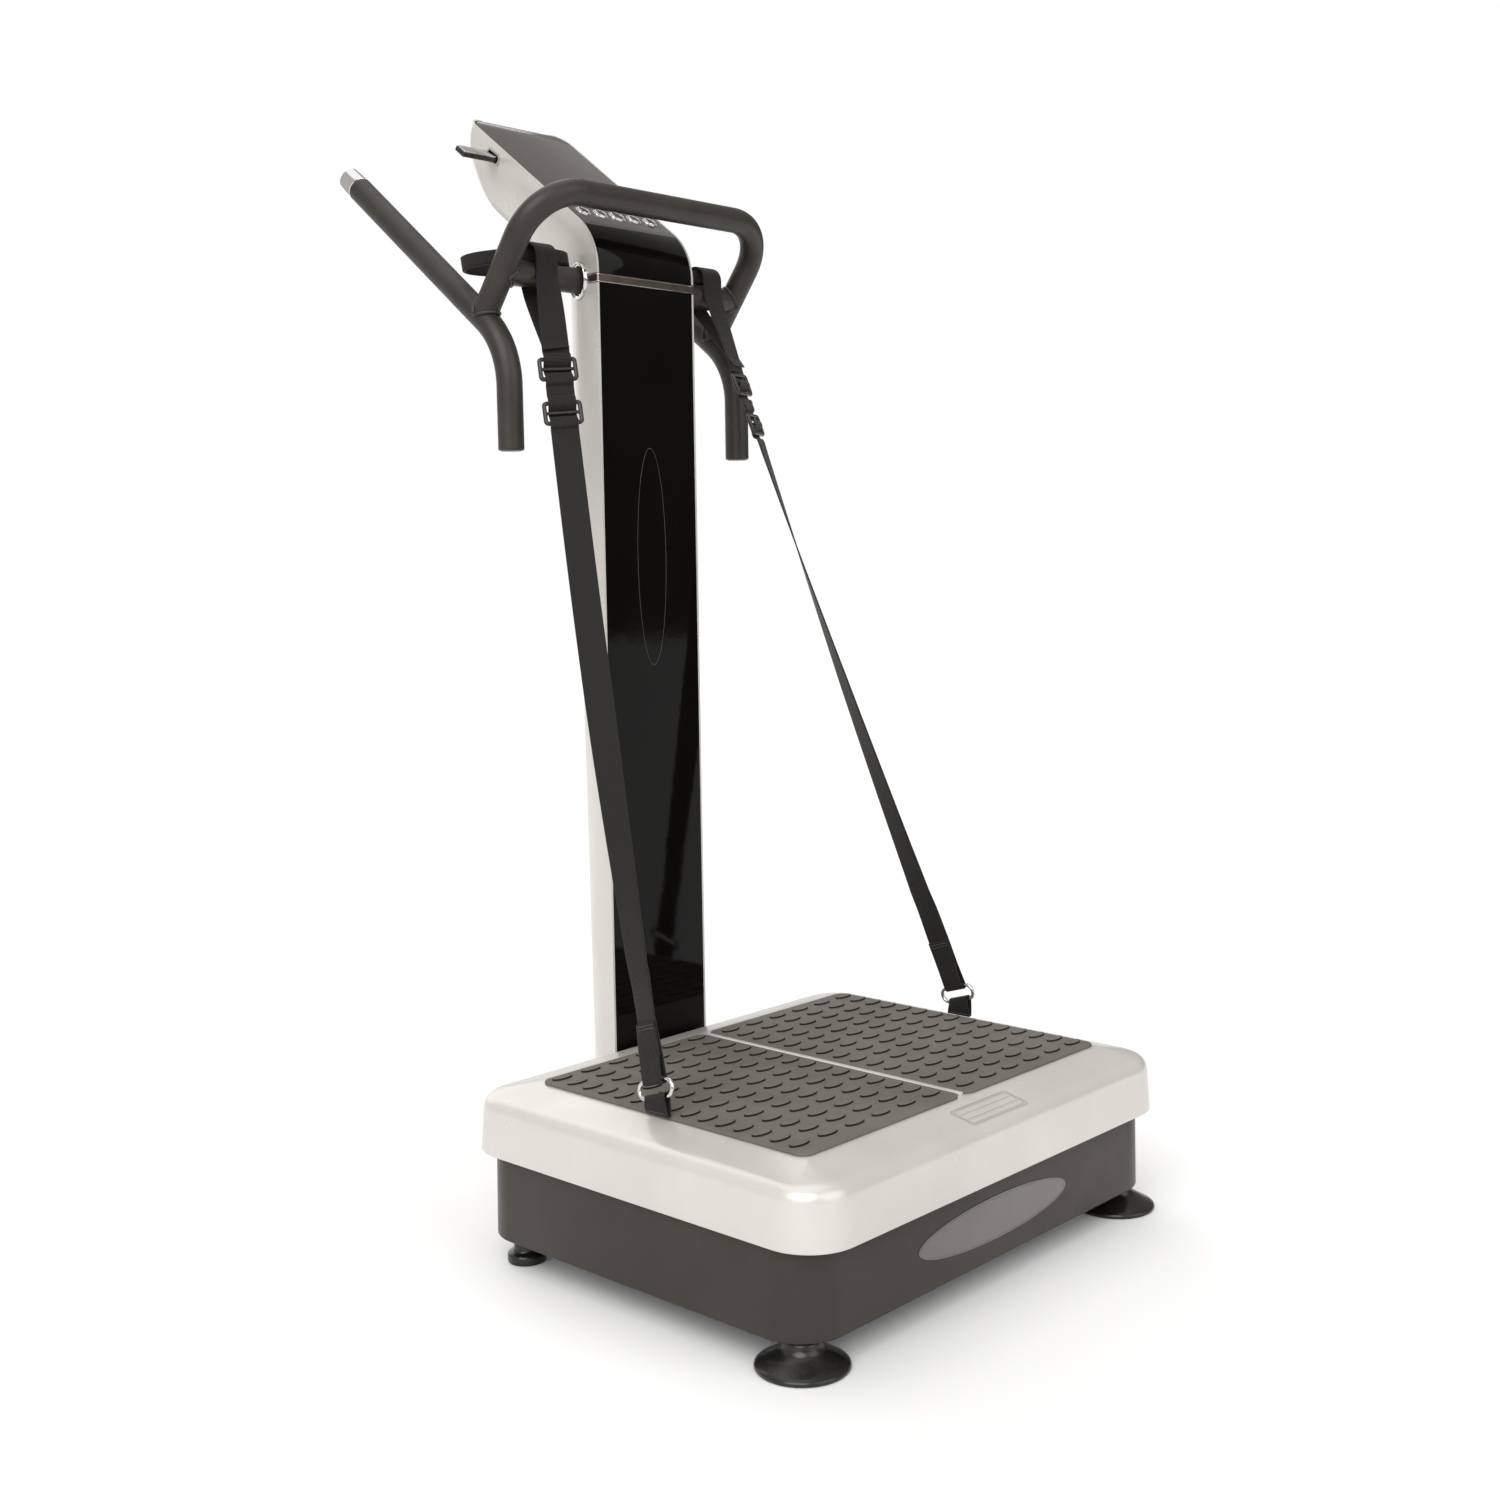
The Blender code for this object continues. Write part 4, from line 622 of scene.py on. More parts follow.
def make_column():
    """Silver back shell of the column, with seats for the collars."""
    top = CROSS_Z - TRIM_HALF_H - GAP
    sections = []
    for z in [COLUMN_BOTTOM_Z, COLUMN_BOTTOM_Z + 0.001] + spaced(0.1, top, 12):
        share = (z - COLUMN_BOTTOM_Z) / (CROSS_Z - COLUMN_BOTTOM_Z)
        depth = COLUMN_BOTTOM_DEPTH + (COLUMN_TOP_DEPTH - COLUMN_BOTTOM_DEPTH) * share
        sections.append(half_section((0, COLUMN_FRONT_Y, z), (0, COLUMN_FRONT_Y + depth, z), COLUMN_HALF_W))
    place(cut_collar_seats(skin("column_back", sections, "silver")), "base", "silver", "column_shell")


def make_trim():
    """Bronzed band with bright raised lips across the front, and the two chrome collars."""
    reach = 0.225
    path = []
    for sign in (-1, 1):
        arc = []
        for i in range(9):
            a = reach * i / 8
            x, y = sign * math.cos(a), math.sin(a)
            out = Vector((x / COLUMN_HALF_W, y / COLUMN_TOP_DEPTH, 0)).normalized()
            spot = Vector((COLUMN_HALF_W * x, COLUMN_FRONT_Y + COLUMN_TOP_DEPTH * y, 0))
            arc.append((spot, out))
        arc.append((Vector((sign * (COLUMN_HALF_W - 0.0006), COLUMN_FRONT_Y, 0)),
                    Vector((sign * 0.7071, -0.7071, 0))))
        flat = [(Vector((sign * x, COLUMN_FRONT_Y, 0)), Vector((0, -1, 0))) for x in (0.0725, 0.04, 0.01)]
        side = arc[8::-1] + arc[9:] + flat
        path += side if sign < 0 else side[::-1]
    band = [(-0.0002, -0.0036), (0.0006, -0.0036), (0.0006, 0.0036), (-0.0002, 0.0036)]
    lips = [[(-0.0004, z - 0.0007), (0.0007, z - 0.0007), (0.0011, z - 0.0004), (0.0011, z + 0.0004),
             (0.0007, z + 0.0007), (-0.0004, z + 0.0007)] for z in (-0.0039, 0.0039)]
    for name, sections, mat in (("trim_band", [band], "trim"), ("trim_lips", lips, "chrome")):
        bm = bmesh.new()
        for section in sections:
            loft_into(bm, [[spot + out * d + Vector((0, 0, CROSS_Z + z)) for d, z in section]
                           for spot, out in path])
        obj = cut_collar_seats(as_object(name, bm, mat, 50))
        place(obj, "base", "chrome", *(("trim_strip",) if name == "trim_band" else ()))
    bore = TUBE_R + 0.0024
    ring = [(bore, -0.0045), (COLLAR_R, -0.0045), (COLLAR_R, 0.0012), (COLLAR_R - 0.0004, 0.0022),
        (COLLAR_R - 0.0013, 0.0028), (bore + 0.0024, 0.0028), (bore + 0.0018, 0.0024),
        (bore + 0.0014, 0.0012), (bore + 0.0006, 0.001), (bore, 0.0006), (bore, -0.0045)]
    for side, sign in SIDES:
        collar = turned("collar_ring_" + side, ring, "chrome", facing(*collar_place(sign)), 96)
        place(collar, "base", "chrome", "collar_" + side)


def console_front(s):
    """Point on the console's face line, and the outward normal, at a distance above the trim."""
    start_z = CROSS_Z + TRIM_HALF_H + GAP
    rise = BEND_START_Z - start_z
    turn = math.pi / 2 - SLOPE
    if s <= rise:
        return Vector((0, COLUMN_FRONT_Y, start_z + s)), Vector((0, -1, 0))
    angle = min((s - rise) / BEND_R, turn)
    out = Vector((0, -math.cos(angle), math.sin(angle)))
    point = Vector((0, COLUMN_FRONT_Y + BEND_R, BEND_START_Z)) + out * BEND_R
    beyond = max(s - rise - BEND_R * turn, 0.0)
    return point + Vector((0, math.cos(SLOPE), math.sin(SLOPE))) * beyond, out


BEND_END = BEND_START_Z - (CROSS_Z + TRIM_HALF_H + GAP) + BEND_R * (math.pi / 2 - SLOPE)
CONSOLE_TOTAL = BEND_END + CONSOLE_STRAIGHT


def console_back(s):
    """Point on the console's back line."""
    front, out = console_front(s)
    straight = BEND_END + 0.03
    start = Vector((0, COLUMN_FRONT_Y + COLUMN_TOP_DEPTH, CROSS_Z + TRIM_HALF_H + GAP))
    if s < straight:
        low, normal = console_front(straight)
        return start.lerp(low - normal * CONSOLE_DEPTH, s / straight)
    into = max(s - (CONSOLE_TOTAL - CONSOLE_TAPER), 0.0) / CONSOLE_TAPER
    depth = TIP_DEPTH + (CONSOLE_DEPTH - TIP_DEPTH) * math.sqrt(max(1 - into * into, 0.0))
    return front - out * depth


def console_half_w(s, inset=0.0):
    """Half width of the console, round at the two tip corners."""
    into = max(s - (CONSOLE_TOTAL - inset - TIP_R), 0.0)
    return COLUMN_HALF_W - inset - TIP_R + math.sqrt(max(TIP_R * TIP_R - into * into, 0.0))


def console_stations(start, end):
    """Distances along the face, close together in the bend and at the tip."""
    marks = spaced(0.0, BEND_END, 25) + spaced(BEND_END + 0.006, BEND_END + 0.03, 4)
    marks += spaced(BEND_END + 0.045, CONSOLE_TOTAL - CONSOLE_TAPER, 6)
    marks += [CONSOLE_TOTAL - CONSOLE_TAPER * (1 - math.sin(math.pi / 2 * i / 22)) for i in range(1, 23)]
    return [start] + [s for s in marks if start + 0.0004 < s < end - 0.0002] + [end]


def make_console():
    """Silver console shell, lower gloss panel and display panel with its button holes."""
    sections = [half_section(console_front(s)[0], console_back(s), console_half_w(s))
                for s in console_stations(0.0, CONSOLE_TOTAL)]
    front, out = console_front(CONSOLE_TOTAL)
    for drop, depth, narrower in ((0.0004, 0.01, 0.003), (0.0006, 0.005, 0.005)):
        half = console_half_w(CONSOLE_TOTAL) - narrower
        sections.append(half_section(front - out * drop, front - out * depth, half))
    shell = cut_collar_seats(skin("console_body", sections, "silver"))
    cut(shell, block("cutter", (0.03, 0.0226, 0.0126), usb_matrix(-0.07), "steel", 0.0015))
    place(shell, "base", "silver", "console_shell")
    lower = face_sheet("console_lower_gloss", 0.0, BEND_END - SEAM_S, "gloss_black")
    place(lower, "base", "gloss_black", "console_lower_panel")
    display = face_sheet("display_face", BEND_END - SEAM_S + 0.0008, CONSOLE_TOTAL - 0.003, "display")
    cutters = []
    for i in range(5):
        centre = button_centre(i)
        cutters.append(rod_cutter(button_radius(i) + 0.0006, centre - OUT * 0.02, centre + OUT * 0.02))
    cut(display, *cutters)
    place(display, "base", "gloss_black", "display_panel")


def face_sheet(name, start, end, mat):
    """Sheet that closes the front of the console, with fine rounded side edges."""
    rings = []
    for s in console_stations(start, end):
        front, out = console_front(s)
        half = console_half_w(s, WALL + 2 * GAP)
        section = [(-1, -0.0025), (-1, -0.0005), (-0.9965, -0.0001), (-0.992, 0.0), (0.992, 0.0),
                   (0.9965, -0.0001), (1, -0.0005), (1, -0.0025)]
        rings.append([front + Vector((x * half, 0, 0)) + out * d for x, d in section])
    return loft(name, rings, mat, 30)


OUT = console_front(BEND_END + 0.05)[1]


def button_radius(index):
    """The middle button is the larger one."""
    return 0.0088 if index == 2 else 0.0075


def button_centre(index):
    """Centre of a button on the display panel."""
    centre = console_front(BEND_END + BUTTON_UP)[0]
    centre.x = (index - 2) * BUTTON_PITCH
    return centre


def make_buttons():
    """Each button is a dark cap with a chrome rim, in a chrome bezel on the panel."""
    for index in range(5):
        r = button_radius(index)
        at = facing(button_centre(index), OUT)
        rim = [(r - 0.0016, -0.008), (r, -0.008), (r, 0.001), (r - 0.0003, 0.0018), (r - 0.0009, 0.0022),
               (r - 0.0016, 0.002), (r - 0.0018, 0.0014), (r - 0.0016, -0.008)]
        face = [(0, -0.006), (r - 0.0017, -0.006), (r - 0.0017, 0.0014), (r - 0.0024, 0.0017),
                (r * 0.5, 0.0019), (0, 0.002)]
        number = str(index + 1)
        body = "button_%s_body" % number
        place(turned("button_rim_" + number, rim, "chrome", at), body, "chrome", "button_" + number)
        place(turned("button_face_" + number, face, "black_plastic", at), body, "chrome")
        bezel = [(r + 0.0003, -0.001), (r + 0.0016, -0.001), (r + 0.0016, 0.0003), (r + 0.0012, 0.0007),
                 (r + 0.0006, 0.0007), (r + 0.0003, 0.0003), (r + 0.0003, -0.001)]
        place(turned("button_bezel_" + number, bezel, "chrome", at), "base", "chrome")


def usb_matrix(x):
    """Frame of the port: X out of the side, Y up the console's slope."""
    centre, out = console_front(BEND_END + USB_UP)
    return Matrix.Translation(centre - out * 0.014 + Vector((x, 0, 0))) @ Matrix.Rotation(SLOPE, 4, "X")


def make_usb():
    """Chrome port surround, and the memory stick with its metal top and plug."""
    at = usb_matrix(0)
    bm = bmesh.new()
    outer = rounded_outline(0.0112, -0.0063, 0.0063, 0.0016, 6)
    inner = rounded_outline(0.0094, -0.0045, 0.0045, 0.0008, 6)
    rings = [[at @ Vector((x, a, b)) for a, b in outline] for outline, x in
             ((outer, -0.0715), (outer, -0.0762), (inner, -0.0762), (inner, -0.064))]
    loft_into(bm, rings, along=True)
    place(as_object("port_surround", bm, "chrome"), "base", "black_plastic", "usb_port")
    pieces = (
        ("stick_body", (0.05, 0.0172, 0.0056), STICK_X, -0.0008, "black_plastic", 0.0012, ["usb_stick"]),
        ("stick_top", (0.0485, 0.015, 0.0016), STICK_X, 0.0026, "chrome", 0.0006, []),
        ("stick_plug", (0.014, 0.012, 0.0045), -0.0685, 0.0, "steel", 0.0003, []))
    for name, size, x, lift, mat, width, nodes in pieces:
        obj = block(name, size, usb_matrix(x) @ Matrix.Translation((0, 0, lift)), mat, width)
        place(obj, "stick", mat, *nodes)


# ---- handlebar

def mirrored(point, sign):
    """A handlebar point moved to one side of the machine."""
    return Vector((sign * HANDLE_X, point.y, point.z))


def weld_bead(name, centre, axis, start, direction):
    """Rippled bead where a tube that leaves along a direction meets a tube on an axis."""
    axis, direction = axis.normalized(), direction.normalized()
    first = direction.orthogonal().normalized()
    second = direction.cross(first)
    points = []
    for a in full_turn(72):
        origin = start + (first * math.cos(a) + second * math.sin(a)) * TUBE_R * 1.02
        flat_o = (origin - centre) - axis * (origin - centre).dot(axis)
        flat_d = direction - axis * direction.dot(axis)
        qa, qb, qc = flat_d.dot(flat_d), 2 * flat_o.dot(flat_d), flat_o.dot(flat_o) - (TUBE_R * 1.02) ** 2
        root = math.sqrt(max(qb * qb - 4 * qa * qc, 0.0))
        points.append(origin + direction * ((-qb + root) / (2 * qa)))
    radii = [0.0021 + 0.0003 * math.sin(i * 2 * math.pi / 3) for i in range(72)]
    place(pipe(name, points, radii, "weld", 12, closed=True, sharp=80), "base", "tube")


def make_handlebar():
    """Two side bars with chrome sleeves, the grip bar, the cross tube and their welds."""
    slope = (BAR_HIGH - BAR_BEND).normalized()
    leg = (GRIP_CORNER - LEG_JOINT).normalized()
    sleeve = [(0, 0.0), (TUBE_R - 0.0006, 0.0), (TUBE_R, 0.0006), (TUBE_R, 0.0215), (TUBE_R - 0.0003, 0.0229),
              (TUBE_R - 0.0012, 0.0238), (TUBE_R - 0.0022, 0.0236), (TUBE_R - 0.0026, 0.0225),
              (TUBE_R - 0.0026, 0.018), (0, 0.018)]
    plug = [(0, 0.0185), (TUBE_R - 0.0028, 0.0185), (TUBE_R - 0.0028, 0.0216), (TUBE_R - 0.0036, 0.0224),
            (TUBE_R * 0.5, 0.023), (0, 0.0232)]
    foot_plug = [(0, 0.001), (TUBE_R - 0.0022, 0.001), (TUBE_R - 0.0022, -0.0004), (TUBE_R - 0.003, -0.0008),
                 (0, -0.0008)]
    for side, sign in SIDES:
        corners = [mirrored(p, sign) for p in (BAR_LOW, BAR_BEND, BAR_HIGH)]
        corners[2] = corners[2] - slope * CAP_LENGTH
        bar = soft_end_pipe("side_tube_" + side, rounded_corners(corners, BAR_BEND_R))
        place(bar, "base", "tube", "side_bar_" + side)
        top, foot = facing(corners[2] + slope * 0.0003, slope), Matrix.Translation(corners[0])
        place(turned("chrome_sleeve_" + side, sleeve, "chrome", top), "base", "chrome", "end_cap_" + side)
        for name, profile, at in (("sleeve_plug_", plug, top), ("tube_plug_", foot_plug, foot)):
            place(turned(name + side, profile, "black_plastic", at), "base", "black_plastic")
        joint, tube_mid = mirrored(LEG_JOINT, sign), Vector((sign * HANDLE_X, CROSS_Y, CROSS_Z))
        weld_bead("leg_weld_" + side, joint, slope, joint, leg)
        weld_bead("cross_weld_" + side, joint, leg, tube_mid, Vector((-sign, 0, 0)))
    legs = ((LEG_JOINT, -1), (GRIP_CORNER, -1), (GRIP_CORNER, 1), (LEG_JOINT, 1))
    corners = [mirrored(point, sign) for point, sign in legs]
    grip = pipe("grip_tube", rounded_corners(corners, GRIP_BEND_R), TUBE_R, "tube")
    place(grip, "base", "tube", "grip_bar")
    ends = [(sign * HANDLE_X, CROSS_Y, CROSS_Z) for sign in (-1, 1)]
    place(pipe("cross_bar", ends, TUBE_R, "tube"), "base", "tube", "cross_tube")


# ---- straps

def band(name, stations, thickness=WEB_T):
    """Flat woven band from (centre, width direction, width). Its weave attribute is in metres."""
    upper = [(-0.488, 0.42), (-0.46, 0.5), (-0.25, 0.5), (0, 0.5), (0.25, 0.5), (0.46, 0.5), (0.488, 0.42)]
    section = [(-0.5, 0.0)] + upper + [(0.5, 0.0)] + [(x, -y) for x, y in upper[::-1]]
    rows = []
    for i, (centre, across, width) in enumerate(stations):
        ahead = stations[min(i + 1, len(stations) - 1)][0] - stations[max(i - 1, 0)][0]
        up = across.cross(ahead).normalized()
        rows.append([centre + across * (x * width) + up * (y * thickness) for x, y in section])
    bm = bmesh.new()
    layer = bm.verts.layers.float_vector.new("weave")
    gone = 0.0
    for i, row in enumerate(loft_into(bm, rows)):
        gone += (stations[i][0] - stations[i - 1][0]).length if i else 0.0
        for vertex, (x, _) in zip(row, section):
            vertex[layer] = (x * stations[i][2], gone, 0.0)
    return as_object(name, bm, "webbing", 60)


def smooth_stations(stations, steps=4):
    """Catmull-Rom points between the given stations."""
    made = []
    last = len(stations) - 1
    for i in range(last):
        p0, p1, p2, p3 = (stations[min(max(i + k, 0), last)] for k in (-1, 0, 1, 2))
        for step in range(steps):
            t = step / steps
            values = []
            for k in (0, 1):
                a, b, c, d = p0[k], p1[k], p2[k], p3[k]
                values.append(0.5 * ((2 * b) + (c - a) * t + (2 * a - 5 * b + 4 * c - d) * t * t
                                     + (3 * b - a - 3 * c + d) * t * t * t))
            made.append((values[0], values[1].normalized(), p1[2] + (p2[2] - p1[2]) * t))
    return made + [stations[-1]]


def heading(angle):
    """Horizontal direction at an angle from +X."""
    return Vector((math.cos(angle), math.sin(angle), 0))


# Share of the way up a strap, and the angle in degrees of its width from +X
TURNS = {
    "left": ((0, 90), (0.04, 90), (0.07, 80), (0.2, 93), (0.46, 128), (0.86, 146), (0.95, 158), (1, 180)),
    "right": ((0, 90), (0.04, 90), (0.07, 93), (0.2, 80), (0.44, 61), (0.63, 42), (0.88, 20), (1, 0)),
}


def strap_turn(side, share):
    """Angle of the webbing's width from +X, from the ring (0) to the cross tube (1)."""
    for (low, first), (high, second) in zip(TURNS[side], TURNS[side][1:]):
        if share <= high:
            return math.radians(first + (second - first) * (share - low) / (high - low))
    return math.radians(TURNS[side][-1][1])


def strap_ends(side, sign):
    """Ring bar at the bottom, touching line on the cross tube at the top, and the strap's direction."""
    ring = Vector((sign * RING.x, RING.y, RING.z))
    high = Vector((sign * TOP_X[side], CROSS_Y - TUBE_REACH, CROSS_Z))
    rise = (high - ring).normalized()
    return ring + rise * RING_BEND_R, high, rise


def square_to(rise, angle):
    """Direction across the webbing, square to the strap."""
    across = heading(angle)
    return (across - rise * across.dot(rise)).normalized()


def strap_centre(low, high, share):
    """Point on the strap's middle line: straight, with a slight bow to the left and back."""
    return low.lerp(high, share) + Vector((-0.68, 0.73, 0)) * (0.005 * math.sin(math.pi * share))


def buckle_offset(z, elsewhere):
    """How far the webbing leaves its line to weave through a slide buckle."""
    for height in BUCKLE_Z:
        away = abs(z - height)
        if away < 0.0025:
            return BUCKLE_WEAVE
        if away < 0.0085:
            return BUCKLE_WEAVE - 2 * BUCKLE_WEAVE * (away - 0.0025) / 0.006
        if away < 0.018:
            return -BUCKLE_WEAVE * min(1.0, (0.018 - away) / 0.003)
    return elsewhere


def strap_marks(low_z, high_z):
    """Heights at which the strap has a station, denser at the buckles."""
    marks = [z for z in spaced(low_z, high_z, 40) if all(abs(z - height) > 0.02 for height in BUCKLE_Z)]
    for height in BUCKLE_Z:
        marks += [height + step for step in (-0.018, -0.015, -0.0085, -0.0025, 0.0025, 0.0085, 0.015, 0.018)]
    return sorted(marks)


def make_strap(side, sign):
    """Round the ring, up through two buckles, over the cross tube and back down."""
    low, high, rise = strap_ends(side, sign)

    def station(z, offset, width=WEB_W):
        share = (z - low.z) / (high.z - low.z)
        across = square_to(rise, strap_turn(side, share))
        return strap_centre(low, high, share) + across.cross(rise) * offset, across, width

    stations = [station(low.z + SEAM_UP, -0.0011, 0.0295), station(low.z + 0.028, -0.0018, 0.029),
                station(low.z + 0.012, -0.0032, 0.027)]
    _, across, width = station(low.z, 0.0)
    face = across.cross(rise)
    for i in range(7):
        angle = math.pi * i / 6
        stations.append((low - (face * math.cos(angle) + rise * math.sin(angle)) * RING_REACH, across, 0.027))
    stations += [station(low.z + 0.012, 0.0032, 0.027), station(low.z + 0.028, 0.0018, 0.029)]
    for z in strap_marks(low.z + SEAM_UP, high.z - 0.012):
        stations.append(station(z, buckle_offset(z, 0.0011 if z < low.z + 0.1 else 0.0)))
    stations += arch_stations(high.x, TUBE_REACH)
    last = stations[-1][0]
    target = station(BUCKLE_Z[0] + 0.021, 0.0036 * (-1 if side == "left" else 1))[0]
    for i in range(1, 5):
        spot = last.lerp(target, i / 4)
        turn = strap_turn(side, (spot.z - low.z) / (high.z - low.z))
        stations.append((spot, square_to((target - last).normalized(), turn), WEB_W))
    kept = [stations[0]]
    for centre, across, width in stations[1:]:
        kept.append((centre, -across if across.dot(kept[-1][1]) < 0 else across, width))
    fine = smooth_stations(kept)
    strap = band("tether_" + side, fine)
    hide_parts("strap_" + side)
    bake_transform(strap)
    make_strap_stitches(side, low, rise, station)


def arch_stations(x, reach):
    """Up the front of the cross tube, over the hand loop's band and down the tube's back."""
    across = Vector((1, 0, 0))
    spots = [(CROSS_Y - reach, CROSS_Z), (CROSS_Y - reach, CROSS_Z + 0.01)]
    for i in range(9):
        angle = math.pi * i / 8
        spots.append((CROSS_Y - reach * math.cos(angle), CROSS_Z + 0.0185 + reach * math.sin(angle)))
    for i in range(1, 5):
        angle = math.radians(12 * i)
        spots.append((CROSS_Y + reach * math.cos(angle), CROSS_Z - reach * math.sin(angle)))
    return [(Vector((x, y, z)), across, WEB_W) for y, z in spots]


def stitch_row(bm, start, along, up, count=9, pitch=STITCH_PITCH):
    """A straight row of thread stitches, each a short arched tube."""
    for i in range(count):
        points = [start + along * (pitch * i + STITCH_LENGTH * t) + up * (0.00035 * math.sin(math.pi * t))
                  for t in (0.0, 0.25, 0.5, 0.75, 1.0)]
        pipe_into(bm, points, [0.00018, 0.00028, 0.0003, 0.00028, 0.00018], 6)


def make_strap_stitches(side, low, rise, station):
    """Rows of thread across the doubled end, on both faces."""
    bm = bmesh.new()
    for z in (low.z + 0.047, low.z + 0.05, low.z + 0.022):
        for face in (1, -1):
            centre, across, _ = station(z, face * 0.0021)
            stitch_row(bm, centre - across * 0.0125, across, across.cross(rise) * face)
    thread = as_object("tether_thread_" + side, bm, "thread", 80)
    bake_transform(thread)


def make_buckle(side, sign, number, height):
    """Slide buckle: rounded frame and middle bar."""
    low, high, rise = strap_ends(side, sign)
    share = (height - low.z) / (high.z - low.z)
    across = square_to(rise, strap_turn(side, share))
    face = across.cross(rise)
    at = Matrix((across, rise, face)).transposed().to_4x4()
    at.translation = strap_centre(low, high, share)
    bm = bmesh.new()
    outer = rounded_outline(0.0212, -0.0136, 0.0136, 0.005, 8)
    inner = rounded_outline(0.0168, -0.0092, 0.0092, 0.0016, 8)
    upper = [(0.0, 0.0008), (0.18, 0.0019), (0.42, 0.0024), (0.62, 0.0024), (0.86, 0.0019), (1.0, 0.0008)]
    rings = []
    for t, z in upper + [(t, -z) for t, z in upper[::-1]]:
        outline = [(ox + (ix - ox) * t, oy + (iy - oy) * t) for (ox, oy), (ix, iy) in zip(outer, inner)]
        rings.append(raised(outline, z, at))
    loft_into(bm, rings, along=True)
    bar = [at @ Vector((x, 0, 0)) for x in spaced(-0.0175, 0.0175, 7)]
    pipe_into(bm, bar, 0.0019, 16)
    place(as_object("slide_buckle_%s_%d" % (side, number), bm, "black_plastic", 50), "base", "black_plastic",
          "buckle_%s_%d" % (side, number))


def make_ring_and_anchor(side, sign):
    """Oval chromed ring, and the short loop that holds it at the mat's edge."""
    low, _, rise = strap_ends(side, sign)
    across = square_to(rise, math.pi / 2)
    face = across.cross(rise)
    centre = low - rise * RING_BEND_R
    points = []
    for end, start in ((1, -math.pi / 2), (-1, math.pi / 2)):
        for i in range(21):
            angle = start + math.pi * i / 20
            points.append(centre + across * (end * RING_HALF_STRAIGHT + RING_BEND_R * math.cos(angle))
                          + rise * (RING_BEND_R * math.sin(angle)))
    ring = pipe("oval_ring_" + side, points, RING_WIRE_R, "chrome", 20, closed=True, sharp=80)
    place(ring, "platform", "chrome", "ring_" + side)
    top = low - rise * (2 * RING_BEND_R)
    foot = Vector((sign * RING.x, top.y, 0.1896))

    def leg(direction):
        stations = []
        for i in range(7):
            share = i / 7
            offset = 0.0014 + (RING_REACH - 0.0014) * math.sin(share * math.pi / 2)
            stations.append((foot.lerp(top, share) + face * (direction * offset),
                             Vector((0, 1, 0)).lerp(across, share).normalized(), 0.032 - 0.004 * share))
        return stations

    turn = [(top + (rise * math.sin(a) - face * math.cos(a)) * RING_REACH, across, 0.028)
            for a in spaced(0.0, math.pi, 13)]
    stations = leg(-1) + turn + leg(1)[::-1]
    place(band("deck_loop_" + side, stations), "platform", "webbing", "anchor_loop_" + side)
    bm = bmesh.new()
    for direction in (-1, 1):
        spot, width_way, _ = leg(direction)[1]
        out = face * direction
        stitch_row(bm, spot + out * 0.0009 - width_way * 0.0125, width_way, out)
    place(as_object("deck_loop_thread_" + side, bm, "thread", 80), "platform", "webbing")


def make_hand_loop(side, sign):
    """Stiff oval hand loop on the cross tube with a squared sewn end."""
    back_y = 0.155
    drop = (back_y - CROSS_Y) * math.tan(LOOP_TILT)
    spot = Vector((sign * 0.135, back_y, CROSS_Z + TUBE_R + 0.0008 + LOOP_H / 2 - drop))
    at = Matrix.Rotation(-LOOP_TILT, 4, "X") @ Matrix.Rotation(LOOP_TURN * sign, 4, "Z")
    at.translation = spot
    turn = at.to_3x3()
    up = (turn @ Vector((0, 0, 1))).normalized()
    stations = [(at @ Vector((LOOP_HALF_W * math.cos(a), LOOP_HALF_D * math.sin(a), 0)), up, LOOP_H)
                for a in full_turn(64)]
    obj = band("hand_band_" + side, stations + [stations[0]], LOOP_T)
    place(obj, "base", "webbing", "hand_loop_" + side)
    tab = block("hand_band_end_" + side, (0.024, 0.0085, 0.0142), at @ Matrix.Translation((LOOP_END_X, 0, 0)),
                "webbing", 0.0012)
    give_weave(tab, at)
    place(tab, "base", "webbing")
    bm = bmesh.new()
    for edge in (-1, 1):
        for face in (-1, 1):
            out = (turn @ Vector((0, face, 0))).normalized()
            start = at @ Vector((LOOP_END_X - 0.01, face * 0.0042, edge * 0.0052))
            stitch_row(bm, start, turn @ Vector((1, 0, 0)), out, 7, 0.0029)
    place(as_object("hand_band_thread_" + side, bm, "thread", 80), "base", "webbing")


def give_weave(obj, at):
    """Weave attribute for a block, from its own frame."""
    back = at.inverted()
    layer = obj.data.attributes.new("weave", "FLOAT_VECTOR", "POINT")
    for vertex, value in zip(obj.data.vertices, layer.data):
        spot = back @ vertex.co
        value.vector = (spot.z, spot.x, 0.0)


# ---- carried-over CAD nodes

CARRIED = {
    "gloss_black": ("column_panel",),
    "steel": ("pivot_shaft", "crank_shaft", "motor_shaft"),
    "frame_paint": ("base_frame", "platform_frame", "column_mast"),
    "casting": ("pivot_block_front", "pivot_block_rear", "crank_bearing_front", "crank_bearing_rear",
        "motor_casing", "connecting_rod", "driven_pulley"),
    "black_rubber": ("drive_belt",),
    "black_plastic": ("controller_box", "power_inlet", "switch_case", "rocker_switch"),
    "board": ("console_board",),
}


def dress_cad():
    """Gives every CAD node that stays its finish."""
    for slot_name, names in CARRIED.items():
        for name in names:
            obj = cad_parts[name]
            for index in range(max(len(obj.material_slots), 1)):
                if not obj.material_slots:
                    obj.data.materials.append(MATS[slot_name])
                obj.material_slots[index].material = MATS[slot_name]


